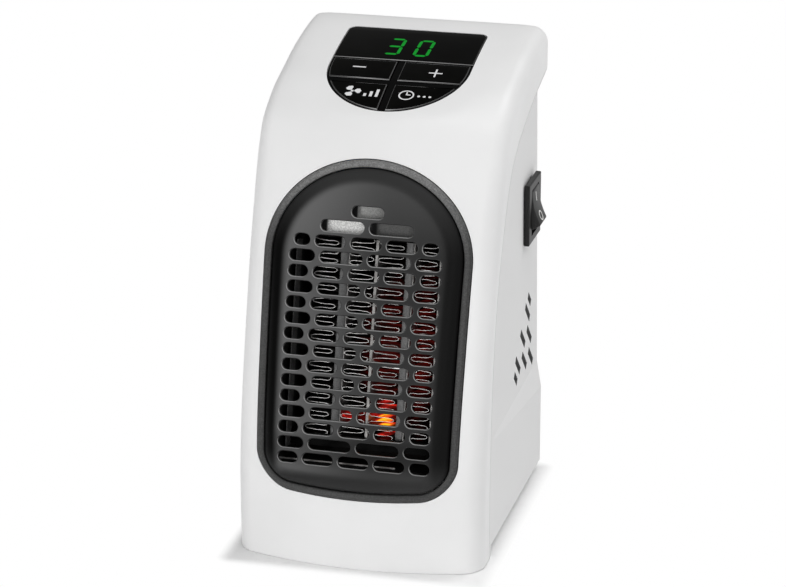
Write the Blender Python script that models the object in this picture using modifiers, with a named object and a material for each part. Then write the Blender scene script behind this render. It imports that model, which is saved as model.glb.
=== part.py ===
"""Plug-in fan heater: a wall-socket heater with a ceramic core, a fan, a key panel on
top, a rocker switch on its right side and a plug that turns at the back.

Lengths are in metres. Everything is modelled with y = 0 on the rear face, the front
towards -Y, and z = 0 on the lower edge of the front cover. One empty then lowers the
whole heater, so that the world origin is the plug's axis on the rear face, where the
heater meets the wall.
"""

import math

import bmesh
import bpy
from mathutils import Matrix, Vector
from mathutils.bvhtree import BVHTree

# Clearances and overruns
GAP = 0.0003
OVERRUN = 0.004
ROOT_OVERLAP = 0.0008
WELD = 0.000002
FLAT_ANGLE = math.radians(0.1)
# Outlines are filled at this many times their size, as the fill drops tiny corners
FILL_SCALE = 1000

# Casing
BODY_WIDTH = 0.0852
BODY_HEIGHT = 0.165
BODY_DEPTH = 0.1023
WALL = 0.0022
FRONT_BOW_RADIUS = 0.13
CORNER_RADIUS = 0.006
TOP_BOW_RADIUS = 0.18
TOP_CORNER_RADIUS = 0.0045
CROWN_START_SHARE = 0.55
CORNER_STEPS = 3
BOW_STEPS = 3
LINE_STEPS = 2
# Each station of the cover: the crest's depth and height, then the seam's depth and
# height, as shares of the body's depth (from the rear face) and of its height
STATION_SHARES = (
    (0.997, 0.000, 0.811, 0.000),
    (1.000, 0.085, 0.817, 0.079),
    (0.999, 0.170, 0.819, 0.158),
    (0.986, 0.255, 0.813, 0.236),
    (0.961, 0.345, 0.803, 0.327),
    (0.925, 0.442, 0.784, 0.421),
    (0.883, 0.545, 0.750, 0.521),
    (0.843, 0.636, 0.700, 0.609),
    (0.803, 0.712, 0.645, 0.679),
    (0.759, 0.782, 0.596, 0.736),
    (0.712, 0.842, 0.533, 0.785),
    (0.640, 0.903, 0.455, 0.818),
    (0.508, 0.950, 0.372, 0.841),
    (0.362, 0.978, 0.274, 0.863),
    (0.215, 1.002, 0.166, 0.884),
    (0.000, 1.024, 0.000, 0.907),
)
# Key panel: a D outline, measured along the facet from the centre of its round end
DISPLAY_SIDE = 0.018
DISPLAY_DEPTH = 0.0397
DISPLAY_HALF = BODY_WIDTH / 2 - DISPLAY_SIDE
DISPLAY_NOSE = DISPLAY_HALF + 0.001
DISPLAY_TOP = 0.0283
DISPLAY_CORNER = 0.003
DISPLAY_STEPS = 14

# The flat that carries the key panel is an arc cut across the crowned top
FACET_MARGIN = 0.0027
FACET_FALL = 0.018
FACET_FRONT_DEPTH = DISPLAY_DEPTH + DISPLAY_NOSE + FACET_MARGIN
FACET_FRONT_HEIGHT = BODY_HEIGHT - FACET_FALL
FACET_RADIUS = 0.232
FACET_BLEND = 0.001

# Rear housing
HOUSING_FLOOR = 0.0027
HOUSING_FRONT_STEP = 0.0004
HOUSING_FOOT_STEP = 0.0001
HOUSING_REAR_STEP = 0.0018
HOUSING_TOP_STEP = 0.0033
HOUSING_FRONT_HALF = BODY_WIDTH / 2 - HOUSING_FRONT_STEP
HOUSING_FOOT_HALF = BODY_WIDTH / 2 - HOUSING_FOOT_STEP
HOUSING_REAR_HALF = BODY_WIDTH / 2 - HOUSING_REAR_STEP
HOUSING_TOP_HALF = BODY_WIDTH / 2 - HOUSING_TOP_STEP
FLARE_LOW = 0.032
FLARE_HIGH = 0.042
SEAM_LIP = 0.0028
TONGUE_HEIGHT = 0.0112
TONGUE_CORNER = 0.005

# Screws that join the casing
SCREW_LOW_SIDE = 0.0086
SCREW_LOW_X = BODY_WIDTH / 2 - SCREW_LOW_SIDE
SCREW_LOW_Z = 0.0120
SCREW_HIGH_SIDE = 0.0096
SCREW_HIGH_X = BODY_WIDTH / 2 - SCREW_HIGH_SIDE
SCREW_HIGH_FALL = 0.041
SCREW_HIGH_Z = BODY_HEIGHT - SCREW_HIGH_FALL
SCREW_HEAD_RADIUS = 0.0028
SCREW_HEAD_TALL = 0.0018
SCREW_SHANK_RADIUS = 0.0013
SCREW_SHANK_LONG = 0.0075
SCREW_POST_RADIUS = 0.0045
SCREW_POST_BORE = 0.0032
SCREW_POST_FLOOR = 0.002
SCREW_POST_SETBACK = 0.0040
BOSS_RADIUS = 0.0034
BOSS_BORE = 0.0017
BOSS_SINK_LOW = 0.0014
BOSS_SINK_HIGH = 0.0034

# Side vents: slanted slots, in three rows and two short end ones
VENT_LENGTH = 0.0108
VENT_WIDTH = 0.0027
VENT_SLANT = math.radians(-42)
VENT_PITCH = 0.0114
VENT_RISE = 0.0024
VENT_ROW_PITCH = 0.0093
VENT_ROW_SHIFT = 0.0032
VENT_ROW_COUNTS = (3, 2, 1)
VENT_REAR_DEPTH = 0.0135
VENT_LOW_FALL = 0.117
VENT_SHORT_LENGTH = 0.0068
VENT_SHORT_STEP = 0.0036

# Rear vents: horizontal slots under the plug
REAR_SLOT_WIDTH = 0.046
REAR_SLOT_HEIGHT = 0.003
REAR_SLOT_PITCH = 0.006
REAR_SLOT_COUNT = 4
REAR_SLOT_LOW = 0.016

# Air outlet: the ring and the slotted panel lean back with the front
FACE_TILT = math.radians(14.3)
FACE_SETBACK = 0.017
FACE_DEPTH = BODY_DEPTH - FACE_SETBACK
FACE_FALL = 0.0608
FACE_HEIGHT = BODY_HEIGHT - FACE_FALL
RING_SIDE = 0.0073
RING_FOOT_TAPER = 0.0007
RING_CROWN_FALL = 0.0026
RING_BELOW = 0.024
RING_HALF = BODY_WIDTH / 2 - RING_SIDE
RING_RISE = RING_HALF - RING_CROWN_FALL
RING_FOOT_HALF = RING_HALF - RING_FOOT_TAPER
RING_DROP = FACE_HEIGHT - RING_BELOW
RING_FOOT_RADIUS = 0.0125
RING_BAND = 0.0034
RING_CHAMFER = 0.0007
RING_PROUD = 0.0012
RING_SINK = 0.0026
PANEL_SINK = 0.0004
PANEL_THICKNESS = 0.0016
PANEL_BORDER = 0.0080
PANEL_LAP = 0.0003
PANEL_SHOULDER_SHARE = 0.45
PANEL_SHOULDER_RISE_SHARE = 0.8
ARCH_STEPS = 22
SIDE_STEPS = 6
FOOT_CORNER_STEPS = 4
FOOT_STEPS = 6

# Outlet slots
SLOT_HEIGHT = 0.00385
SLOT_PITCH = 0.0052
SLOT_GAP = 0.0017
SLOT_SIDE = 0.0093
SLOT_FIELD = 2 * (RING_HALF - SLOT_SIDE)
TOP_ROW_INSET = 0.0028
SLOT_TOP_ROW = 0.0049
SLOT_FOOT = 0.0115
SLOT_ROWS = int((RING_DROP - SLOT_FOOT + SLOT_TOP_ROW) / SLOT_PITCH) + 1
SLOT_END_STEPS = 3
ODD_END = 0.0068
EVEN_END = 0.0088
CROWN_PAIR_INSET = 0.011
CROWN_PAIR_SLOT = SLOT_FIELD / 2 - CROWN_PAIR_INSET
CROWN_SLOT_SHARE = 0.74

# What the key panel is made of
TRAY_FLANGE = 0.0015
TRAY_TOP = 0.0029
TRAY_THICKNESS = 0.0016
TRAY_RIM = 0.0009
RIDGE_TOP = 0.0003
LENS_THICKNESS = 0.0021
LENS_LINE = 0.0050
LENS_RIDGE = 0.0003
KEY_THICKNESS = 0.0016
KEY_TRAVEL = 0.0004
KEY_SPLIT_HALF = 0.0016
UPPER_KEY_LOW = -0.0076
LOWER_KEY_TOP = -0.0104
KEY_STEM_RADIUS = 0.0015
UPPER_STEM_X = DISPLAY_HALF / 2
UPPER_STEM_S = -0.0018
LOWER_STEM_X = DISPLAY_HALF * 3 / 8
LOWER_STEM_S = -DISPLAY_NOSE * 3 / 5

# Display board
BOARD_THICKNESS = 0.0016
DISPLAY_BOARD_TOP = 0.0092
TACT_SIZE = 0.006
BOARD_EDGE = 0.0008
DISPLAY_BOARD_INSET = 0.0046
DISPLAY_BOARD_HALF = DISPLAY_HALF - DISPLAY_BOARD_INSET
DISPLAY_BOARD_LOW = LOWER_STEM_S - TACT_SIZE / 2 - BOARD_EDGE
DISPLAY_BOARD_HIGH = DISPLAY_TOP - DISPLAY_BOARD_INSET
TACT_HEIGHT = 0.0027
TACT_PIN_RADIUS = 0.0017
TACT_PIN_HEIGHT = 0.0007
DIGITS_WIDTH = 0.0165
DIGITS_LENGTH = 0.0135
DIGITS_PLACE = 0.0146
TRAY_POST_RADIUS = 0.0015
TRAY_POST_X = DISPLAY_BOARD_HALF - TRAY_POST_RADIUS - BOARD_EDGE
TRAY_POST_HIGH = DISPLAY_BOARD_HIGH - TRAY_POST_RADIUS - BOARD_EDGE
TRAY_POST_LOW = UPPER_STEM_S - TACT_SIZE / 2 - TRAY_POST_RADIUS - 2 * GAP

# Rocker switch in the right wall
SWITCH_DEPTH = 0.0192
SWITCH_FALL = 0.0605
SWITCH_HEIGHT = BODY_HEIGHT - SWITCH_FALL
BEZEL_TALL = 0.0218
BEZEL_DEEP = 0.0188
BEZEL_PROUD = 0.002
BEZEL_EDGE = 0.0004
SWITCH_BODY_TALL = 0.019
SWITCH_BODY_DEEP = 0.0134
SWITCH_BODY_LONG = 0.016
ROCKER_POCKET_TALL = 0.0164
ROCKER_POCKET_DEEP = 0.0112
ROCKER_POCKET_LONG = 0.010
ROCKER_DEEP = 0.0104
ROCKER_HALF_TALL = 0.0063
ROCKER_END_HALF = 0.0072
ROCKER_END_DROP = 0.0016
ROCKER_PIVOT = 0.0052
ROCKER_HALF_THROW = math.radians(14)
ROCKER_TIP = 0.0018
ROCKER_VALLEY = 0.0009
ROCKER_SKIRT = 0.0045
TERMINAL_WIDE = 0.0063
TERMINAL_THICK = 0.0008
TERMINAL_LONG = 0.008
TERMINAL_SPREAD = 0.0055

# Air duct from the outlet to the fan
DUCT_FRONT = 0.0090
DUCT_SIDE = 0.0061
DUCT_HALF = RING_HALF - DUCT_SIDE
DUCT_WALL = 0.0010
DUCT_FRONT_TOP = 0.0112
DUCT_FRONT_FOOT = 0.0089
DUCT_FRONT_DROP = RING_DROP - DUCT_FRONT_FOOT
DUCT_WAIST_TOP = 0.0108
DUCT_WAIST_FOOT = 0.0092
DUCT_WAIST_DROP = RING_DROP - DUCT_WAIST_FOOT
DUCT_WAIST_BEHIND = 0.0016
BAFFLE_SIDE = 0.0173
BAFFLE_WIDTH = 2 * (RING_HALF - BAFFLE_SIDE)
BAFFLE_TALL = 0.0110
BAFFLE_THICK = 0.0006
BAFFLE_BEHIND = 0.0028
BAFFLE_LOW = 0.0072
BAFFLE_TAB = 0.0008

# Ceramic heater core, on the outlet's tilted frame
CORE_TOP = 0.0063
CORE_FOOT = 0.0116
CORE_DROP = RING_DROP - CORE_FOOT
CORE_FRONT = 0.0160
CORE_DEPTH = 0.0120
CORE_SIDE = 0.0120
FIN_WIDTH = (DUCT_HALF - CORE_SIDE) / 2
FIN_PITCH = 0.0031
FIN_SHEET = 0.0004
CENTRE_PLATE = 0.0009
BAR_WIDTH = 0.0028
BAR_RELIEF = 0.0016
END_PLATE = 0.0005
CLAMP_TALL = 0.0040
CLAMP_DEPTH = 0.0144
CLAMP_SEAT = 0.0010

# Thermal cut-out and fuse on the duct's roof
CUTOUT_LONG = 0.016
CUTOUT_WIDE = 0.008
CUTOUT_TALL = 0.0045
CUTOUT_DEPTH = 0.0640
CUTOUT_X = -0.013
FUSE_RADIUS = 0.002
FUSE_LONG = 0.012
FUSE_X = 0.012

# Fan
FAN_FALL = 0.092
FAN_HEIGHT = BODY_HEIGHT - FAN_FALL
FAN_REAR = 0.0365
FAN_DEEP = 0.015
FAN_SIDE = 0.0018
FAN_WIDE = 2 * (DUCT_HALF + FAN_SIDE)
FAN_TALL_LESS = 0.002
FAN_TALL = FAN_WIDE - FAN_TALL_LESS
FAN_RIM = 0.0015
FAN_BORE = FAN_TALL / 2 - FAN_RIM
FAN_HUB = 0.013
FAN_HUB_WALL = 0.0015
FAN_MOUNT = 0.0022
FAN_ARM_WIDE = 0.004
FAN_ARMS = 4
BLADES = 7
BLADE_CLEARANCE = 0.0013
BLADE_TIP = FAN_BORE - BLADE_CLEARANCE
BLADE_DEEP = 0.0100
BLADE_SHEET = 0.0012
BLADE_ROOT_TWIST = math.radians(52)
BLADE_TIP_TWIST = math.radians(30)
SHAFT_RADIUS = 0.0015
STATOR_RADIUS = 0.0098
STATOR_BORE = 0.0036
TUBE_RADIUS = 0.0031
RIB_THICK = 0.002
RIB_BITE = 0.0014

# Plug
PLUG_FALL = 0.087
PLUG_HEIGHT = BODY_HEIGHT - PLUG_FALL
PLUG_RADIUS = 0.0187
PLUG_LONG = 0.0170
PLUG_EDGE = 0.0012
PLUG_NOTCH_WIDE = 0.0060
PLUG_NOTCH_DEEP = 0.0030
TURNTABLE_RADIUS = 0.0235
FLANGE_RADIUS = 0.0262
FLANGE_THICK = 0.0024
PIN_RADIUS = 0.0024
PIN_LONG = 0.019
PIN_SPACING = 0.019
SLIP_THICK = 0.0008
SLIP_WIDE = 0.0026
SLIP_INNER = 0.0052
SLIP_OUTER = 0.0135
BRUSH_RADIUS = 0.0012
BRUSH_LONG = 0.0062
CARRIER_THICK = 0.0022
CARRIER_TALL = 0.012
CARRIER_STAND = 0.0030
CARRIER_POST_RADIUS = 0.0028
CARRIER_POST_CLEARANCE = 0.0015
CARRIER_POST_X = FLANGE_RADIUS + CARRIER_POST_RADIUS + CARRIER_POST_CLEARANCE

# Control board and what it carries, at the rear wall above the fan
CONTROL_DEPTH = 0.0120
CONTROL_SIDE = 0.001
CONTROL_LEFT = SCREW_POST_RADIUS + CONTROL_SIDE - SCREW_HIGH_X
CONTROL_SWITCH_SIDE = 0.013
CONTROL_RIGHT = SCREW_HIGH_X - CONTROL_SWITCH_SIDE
CONTROL_FALL = 0.019
CONTROL_TALL = 0.038
CONTROL_HIGH = BODY_HEIGHT - CONTROL_FALL
CONTROL_LOW = CONTROL_HIGH - CONTROL_TALL
BOARD_POST_RADIUS = 0.0025
BOARD_POST_INSET = 0.006
RELAY_WIDE = 0.0155
RELAY_TALL = 0.0190
RELAY_DEEP = 0.0150
PART_MARGIN = 0.002
RELAY_X = CONTROL_LEFT + PART_MARGIN + RELAY_WIDE / 2
RELAY_Z = CONTROL_LOW + PART_MARGIN + RELAY_TALL / 2
FILM_WIDE = 0.0180
FILM_TALL = 0.0140
FILM_DEEP = 0.0085
FILM_X = (CONTROL_LEFT + CONTROL_RIGHT) / 2
FILM_Z = CONTROL_HIGH - PART_MARGIN - FILM_TALL / 2
CAN_RADIUS = 0.0045
CAN_DEEP = 0.0120
CAN_X = RELAY_X + RELAY_WIDE / 2 + PART_MARGIN * 2 + CAN_RADIUS
CAN_Z = FILM_Z - FILM_TALL / 2 - PART_MARGIN / 2 - CAN_RADIUS

# Leads
LEAD_RADIUS = 0.0011
LEAD_SIDES = 1
LEAD_STEPS = 3

parts = None
cutters = None
heater = None


def clear_scene():
    for obj in list(bpy.data.objects):
        bpy.data.objects.remove(obj)
    for collection in list(bpy.data.collections):
        bpy.data.collections.remove(collection)


def make_collections():
    global parts, cutters, heater
    parts = bpy.data.collections.new("plug_in_fan_heater")
    cutters = bpy.data.collections.new("cutters")
    bpy.context.scene.collection.children.link(parts)
    bpy.context.scene.collection.children.link(cutters)
    heater = bpy.data.objects.new("heater", None)
    heater.empty_display_size = BODY_WIDTH
    heater.location.z = -PLUG_HEIGHT
    parts.objects.link(heater)


def material(name, colour, roughness, metallic=0.0):
    made = bpy.data.materials.new(name)
    made.use_nodes = True
    shader = made.node_tree.nodes["Principled BSDF"]
    shader.inputs["Base Color"].default_value = (*colour, 1)
    shader.inputs["Roughness"].default_value = roughness
    shader.inputs["Metallic"].default_value = metallic
    return made


def finish(obj, name, colour, roughness, metallic=0.0, parent=None):
    """Names a piece, gives it its own material and hangs it on its parent."""
    obj.name = name
    obj.data.name = name
    obj.data.materials.clear()
    obj.data.materials.append(material(name, colour, roughness, metallic))
    obj.parent = parent or heater
    obj.data.shade_smooth()
    obj.data.set_sharp_from_angle(angle=math.radians(35))
    return obj


def as_object(mesh, collection=None):
    obj = bpy.data.objects.new("piece", mesh)
    (collection or parts).objects.link(obj)
    return obj


def from_bmesh(work):
    bmesh.ops.recalc_face_normals(work, faces=work.faces)
    mesh = bpy.data.meshes.new("piece")
    work.to_mesh(mesh)
    work.free()
    return as_object(mesh)


def box(size, centre):
    work = bmesh.new()
    bmesh.ops.create_cube(work, size=1)
    bmesh.ops.scale(work, vec=Vector(size), verts=work.verts)
    bmesh.ops.translate(work, vec=Vector(centre), verts=work.verts)
    return from_bmesh(work)


def span_box(low, high):
    size = [b - a for a, b in zip(low, high)]
    centre = [(a + b) / 2 for a, b in zip(low, high)]
    return box(size, centre)


def cylinder(radius, start, end, segments=24, end_radius=None):
    """A cylinder or cone from one point to another."""
    start = Vector(start)
    run = Vector(end) - start
    work = bmesh.new()
    bmesh.ops.create_cone(
        work,
        cap_ends=True,
        segments=segments,
        radius1=radius,
        radius2=radius if end_radius is None else end_radius,
        depth=run.length,
    )
    turn = Vector((0, 0, 1)).rotation_difference(run).to_matrix().to_4x4()
    bmesh.ops.transform(work, matrix=Matrix.Translation(start + run / 2) @ turn, verts=work.verts)
    return from_bmesh(work)


def evaluated_mesh(obj, scale=1):
    """An object's evaluated mesh, welded, with flat faces merged and then split again."""
    graph = bpy.context.evaluated_depsgraph_get()
    mesh = bpy.data.meshes.new_from_object(obj.evaluated_get(graph))
    mesh.transform(Matrix.Scale(scale, 4))
    work = bmesh.new()
    work.from_mesh(mesh)
    bmesh.ops.remove_doubles(work, verts=work.verts, dist=WELD)
    bmesh.ops.dissolve_limit(work, angle_limit=FLAT_ANGLE, verts=work.verts, edges=work.edges)
    bmesh.ops.triangulate(work, faces=[face for face in work.faces if len(face.verts) > 4])
    bmesh.ops.recalc_face_normals(work, faces=work.faces)
    work.to_mesh(mesh)
    work.free()
    return mesh


def mesh_of_curve(curve_object, scale=1):
    """A curve's evaluated mesh as a new object, with its caps welded."""
    obj = as_object(evaluated_mesh(curve_object, scale))
    obj.matrix_world = curve_object.matrix_world
    bpy.data.objects.remove(curve_object)
    return obj


def plate(outlines, thickness, matrix=None):
    """Flat outlines, the later ones as holes, extruded evenly about their plane."""
    curve = bpy.data.curves.new("outline", "CURVE")
    curve.dimensions = "2D"
    curve.fill_mode = "BOTH"
    curve.extrude = thickness / 2 * FILL_SCALE
    for outline in outlines:
        spline = curve.splines.new("POLY")
        spline.points.add(len(outline) - 1)
        for point, (x, y) in zip(spline.points, outline):
            point.co = (x * FILL_SCALE, y * FILL_SCALE, 0, 1)
        spline.use_cyclic_u = True
    holder = bpy.data.objects.new("outline", curve)
    parts.objects.link(holder)
    bpy.context.view_layer.update()
    obj = mesh_of_curve(holder, 1 / FILL_SCALE)
    if matrix is not None:
        obj.data.transform(matrix)
    return obj


def combine(target, other, operation):
    modifier = target.modifiers.new(operation.lower(), "BOOLEAN")
    modifier.operation = operation
    modifier.solver = "EXACT"
    modifier.object = other
    for collection in list(other.users_collection):
        collection.objects.unlink(other)
    cutters.objects.link(other)
    other.hide_render = True
    other.display_type = "WIRE"
    other.parent = target.parent
    mesh = evaluated_mesh(target)
    target.modifiers.clear()
    target.data = mesh
    bpy.data.objects.remove(other)
    return target


def cut(target, *others):
    for other in others:
        combine(target, other, "DIFFERENCE")
    return target


def join(target, *others):
    for other in others:
        combine(target, other, "UNION")
    return target


def keep_common(target, other):
    return combine(target, other, "INTERSECT")


def loft(loops):
    """A closed tube of closed loops: the last loop joins the first."""
    work = bmesh.new()
    rings = [[work.verts.new(point) for point in loop] for loop in loops]
    count = len(rings[0])
    for i, ring in enumerate(rings):
        after = rings[(i + 1) % len(rings)]
        for j in range(count):
            k = (j + 1) % count
            work.faces.new((ring[j], ring[k], after[k], after[j]))
    return from_bmesh(work)


def arc(centre, radius, start, end, steps, squash=1.0):
    points = []
    for i in range(steps + 1):
        angle = start + (end - start) * i / steps
        points.append((centre[0] + radius * math.cos(angle), centre[1] + radius * squash * math.sin(angle)))
    return points


def smooth_line(points, steps):
    """Points along a Catmull-Rom curve through the given points."""
    points = [Vector(point) for point in points]
    ends = [2 * points[0] - points[1]] + points + [2 * points[-1] - points[-2]]
    line = []
    for i in range(len(points) - 1):
        a, b, c, d = ends[i : i + 4]
        for k in range(steps):
            t = k / steps
            square = (2 * a - 5 * b + 4 * c - d) * t**2
            cube = (3 * b - a - 3 * c + d) * t**3
            line.append((2 * b + (c - a) * t + square + cube) / 2)
    line.append(points[-1])
    return line


def turned(radii_and_heights, start, axis, segments=28):
    """A turned solid: (radius, distance) points along an axis from a start point."""
    curve_mesh = bpy.data.meshes.new("profile")
    points = [(radius, 0, along) for radius, along in radii_and_heights]
    edges = [(i, i + 1) for i in range(len(points) - 1)]
    if radii_and_heights[0][0] > 0:
        edges.append((len(points) - 1, 0))
    curve_mesh.from_pydata(points, edges, [])
    obj = as_object(curve_mesh)
    screw = obj.modifiers.new("turn", "SCREW")
    screw.steps = segments
    screw.render_steps = segments
    screw.axis = "Z"
    screw.use_merge_vertices = True
    screw.merge_threshold = WELD
    mesh = evaluated_mesh(obj)
    obj.modifiers.clear()
    turn = Vector((0, 0, 1)).rotation_difference(Vector(axis)).to_matrix().to_4x4()
    mesh.transform(Matrix.Translation(Vector(start)) @ turn)
    obj.data = mesh
    return obj


# Frames in which the outlet and the key panel are drawn


def face_frame():
    """x across, y up the sloping front, z out of it."""
    place = Matrix.Translation((0, -FACE_DEPTH, FACE_HEIGHT))
    return place @ Matrix.Rotation(math.radians(90) - FACE_TILT, 4, "X")


def facet_circle():
    """Centre (y, z) of the facet's arc."""
    front = Vector((-FACET_FRONT_DEPTH, FACET_FRONT_HEIGHT))
    rear = Vector((0, BODY_HEIGHT))
    chord = rear - front
    across = Vector((-chord.y, chord.x)).normalized()
    return (front + rear) / 2 - across * math.sqrt(FACET_RADIUS**2 - chord.length**2 / 4)


def facet_height(y):
    centre = facet_circle()
    return centre.y + math.sqrt(max(FACET_RADIUS**2 - (y - centre.x) ** 2, 0))


def display_tilt():
    return math.asin((facet_circle().x + DISPLAY_DEPTH) / FACET_RADIUS)


def display_frame():
    """x across, y up the key panel, z out of it; its origin is on the facet."""
    place = Matrix.Translation((0, -DISPLAY_DEPTH, facet_height(-DISPLAY_DEPTH)))
    return place @ Matrix.Rotation(display_tilt(), 4, "X")


# Casing


def station_lines():
    """Crest and seam of the front cover as (y, z) points."""
    crest = [(-a * BODY_DEPTH, b * BODY_HEIGHT) for a, b, c, d in STATION_SHARES]
    seam = [(-c * BODY_DEPTH, d * BODY_HEIGHT) for a, b, c, d in STATION_SHARES]
    return smooth_line(crest, LINE_STEPS), smooth_line(seam, LINE_STEPS)


def normals_along(line):
    """Unit normals of a (y, z) line, to the front and up."""
    result = []
    for i in range(len(line)):
        run = line[min(i + 1, len(line) - 1)] - line[max(i - 1, 0)]
        result.append(Vector((-run.y, run.x)).normalized())
    return result


def half_section(crown):
    """(x, drop) from the top of the side wall to the crest. The bow gets flatter and
    the corner tighter as crown goes from 0, on the front, to 1, at the rear of the top."""
    corner = CORNER_RADIUS + (TOP_CORNER_RADIUS - CORNER_RADIUS) * crown
    bow = FRONT_BOW_RADIUS + (TOP_BOW_RADIUS - FRONT_BOW_RADIUS) * crown
    flat = BODY_WIDTH / 2 - corner
    points = []
    for i in range(CORNER_STEPS + 1):
        angle = math.radians(90) * i / CORNER_STEPS
        x = flat + corner * math.cos(angle)
        points.append((x, corner * (1 - math.sin(angle)) + x**2 / (2 * bow)))
    for i in range(1, BOW_STEPS + 1):
        x = flat * (1 - i / BOW_STEPS)
        points.append((x, x**2 / (2 * bow)))
    return points


def under_facet(y, z):
    """Lowers a point of the crowned top to the facet, with a soft edge."""
    level = facet_height(y)
    return (z + level - math.sqrt((z - level) ** 2 + FACET_BLEND**2)) / 2


def cover_sheet():
    """The cover's outer skin, from its seam on one side to the other."""
    crest, seam = station_lines()
    rows = []
    for i, (point, normal, edge) in enumerate(zip(crest, normals_along(crest), seam)):
        half = [(BODY_WIDTH / 2, edge.x, edge.y)]
        along = i / (len(crest) - 1)
        crown = max(0, (along - CROWN_START_SHARE) / (1 - CROWN_START_SHARE))
        for x, drop in half_section(crown):
            y, z = point - normal * drop
            half.append((x, y, under_facet(y, z)))
        rows.append([(-x, y, z) for x, y, z in half] + half[-2::-1])
    work = bmesh.new()
    grid = [[work.verts.new(point) for point in row] for row in rows]
    for lower, upper in zip(grid, grid[1:]):
        for i in range(len(lower) - 1):
            work.faces.new((lower[i], lower[i + 1], upper[i + 1], upper[i]))
    bmesh.ops.recalc_face_normals(work, faces=work.faces)
    return work


def surface_finder():
    """Returns a function that gives how far the cover's skin is out of the face frame."""
    sheet = cover_sheet()
    tree = BVHTree.FromBMesh(sheet)
    sheet.free()
    frame = face_frame()
    outward = (frame.to_3x3() @ Vector((0, 0, 1))).normalized()

    def height(x, s):
        start = frame @ Vector((x, s, BODY_DEPTH))
        hit = tree.ray_cast(start, -outward)[0]
        return (frame.inverted() @ hit).z

    return height


def rear_trim():
    """What lies behind the rear face."""
    side = BODY_WIDTH + BODY_HEIGHT
    return span_box((-side, 0, -side), (side, OVERRUN * 2, side * 2))


def arch_outline(inset):
    """The outlet's outline: an arch on straight sides with a rounded foot."""
    top_half = RING_HALF - inset
    rise = RING_RISE - inset
    foot_half = RING_FOOT_HALF - inset
    radius = RING_FOOT_RADIUS - inset
    foot = -RING_DROP + inset
    points = arc((0, 0), top_half, 0, math.pi, ARCH_STEPS, rise / top_half)
    for i in range(1, SIDE_STEPS):
        t = i / SIDE_STEPS
        points.append((-top_half + (top_half - foot_half) * t, (foot + radius) * t))
    points += arc((-foot_half + radius, foot + radius), radius, math.pi, math.pi * 3 / 2, FOOT_CORNER_STEPS)
    for i in range(1, FOOT_STEPS):
        points.append(((-foot_half + radius) * (1 - 2 * i / FOOT_STEPS), foot))
    points += arc((foot_half - radius, foot + radius), radius, -math.pi / 2, 0, FOOT_CORNER_STEPS)
    for i in range(SIDE_STEPS - 1, 0, -1):
        t = i / SIDE_STEPS
        points.append((top_half - (top_half - foot_half) * t, (foot + radius) * t))
    return points


def shaped_loop(inset, heights):
    frame = face_frame()
    return [frame @ Vector((x, s, h)) for (x, s), h in zip(arch_outline(inset), heights)]


def display_outline(grow):
    """The key panel's D outline: a square top end with small corners, a round nose."""
    half = DISPLAY_HALF + grow
    nose = DISPLAY_NOSE + grow
    top = DISPLAY_TOP + grow
    corner = DISPLAY_CORNER
    points = arc((half - corner, top - corner), corner, 0, math.pi / 2, 3)
    points += arc((-half + corner, top - corner), corner, math.pi / 2, math.pi, 3)
    return points + arc((0, 0), half, math.pi, 2 * math.pi, DISPLAY_STEPS, nose / half)


def screw_places():
    for x, z, sink in (
        (SCREW_LOW_X, SCREW_LOW_Z, BOSS_SINK_LOW),
        (SCREW_HIGH_X, SCREW_HIGH_Z, BOSS_SINK_HIGH),
    ):
        for side in (-1, 1):
            yield side * x, z, sink


def seam_depth(z):
    """y of the seam at a height."""
    _, seam = station_lines()
    for a, b in zip(seam, seam[1:]):
        if a.y <= z <= b.y:
            return a.x + (b.x - a.x) * (z - a.y) / (b.y - a.y)
    return seam[-1].x


def boss_end(z):
    return seam_depth(z) - SCREW_POST_SETBACK


def display_well():
    """The room under the cover's top for the key panel's tray and board."""
    reach = DISPLAY_BOARD_TOP + BOARD_THICKNESS + GAP
    well = display_prism(display_outline(TRAY_FLANGE + GAP))
    keep_common(well, display_slab(TRAY_TOP - GAP, reach))
    well.data.transform(display_frame())
    return well


def front_cover():
    sheet = cover_sheet()
    tree = BVHTree.FromBMesh(sheet)
    cover = from_bmesh(sheet)
    solidify = cover.modifiers.new("wall", "SOLIDIFY")
    solidify.thickness = WALL
    solidify.offset = -1
    solidify.use_even_offset = True
    opening = plate([arch_outline(-GAP)], BODY_DEPTH, face_frame())
    window = plate([display_outline(0)], WALL * 6, display_frame())
    cut(cover, rear_trim(), opening, window, display_well())
    for x, z, sink in screw_places():
        skin = tree.ray_cast(Vector((x, -BODY_DEPTH * 2, z)), Vector((0, 1, 0)))[0]
        join(cover, cylinder(BOSS_RADIUS, (x, skin.y + sink, z), (x, boss_end(z), z), 16))
        bore_end = boss_end(z) - SCREW_SHANK_LONG
        blind_end = max(bore_end, skin.y + sink + WALL)
        cut(cover, cylinder(BOSS_BORE, (x, blind_end, z), (x, boss_end(z) + OVERRUN, z), 12))
    return finish(cover, "front_cover", (0.86, 0.86, 0.87), 0.38)


def housing_half(y, z):
    """Half the housing's width: it narrows to the rear, above a flared foot."""
    to_rear = 1 + y / (STATION_SHARES[0][2] * BODY_DEPTH)
    if z <= FLARE_LOW:
        rear = HOUSING_FOOT_HALF
    elif z <= FLARE_HIGH:
        rear = HOUSING_REAR_HALF
    else:
        up = (z - FLARE_HIGH) / (STATION_SHARES[-1][3] * BODY_HEIGHT - FLARE_HIGH)
        rear = HOUSING_REAR_HALF + (HOUSING_TOP_HALF - HOUSING_REAR_HALF) * up
    return HOUSING_FRONT_HALF + (rear - HOUSING_FRONT_HALF) * to_rear


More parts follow.
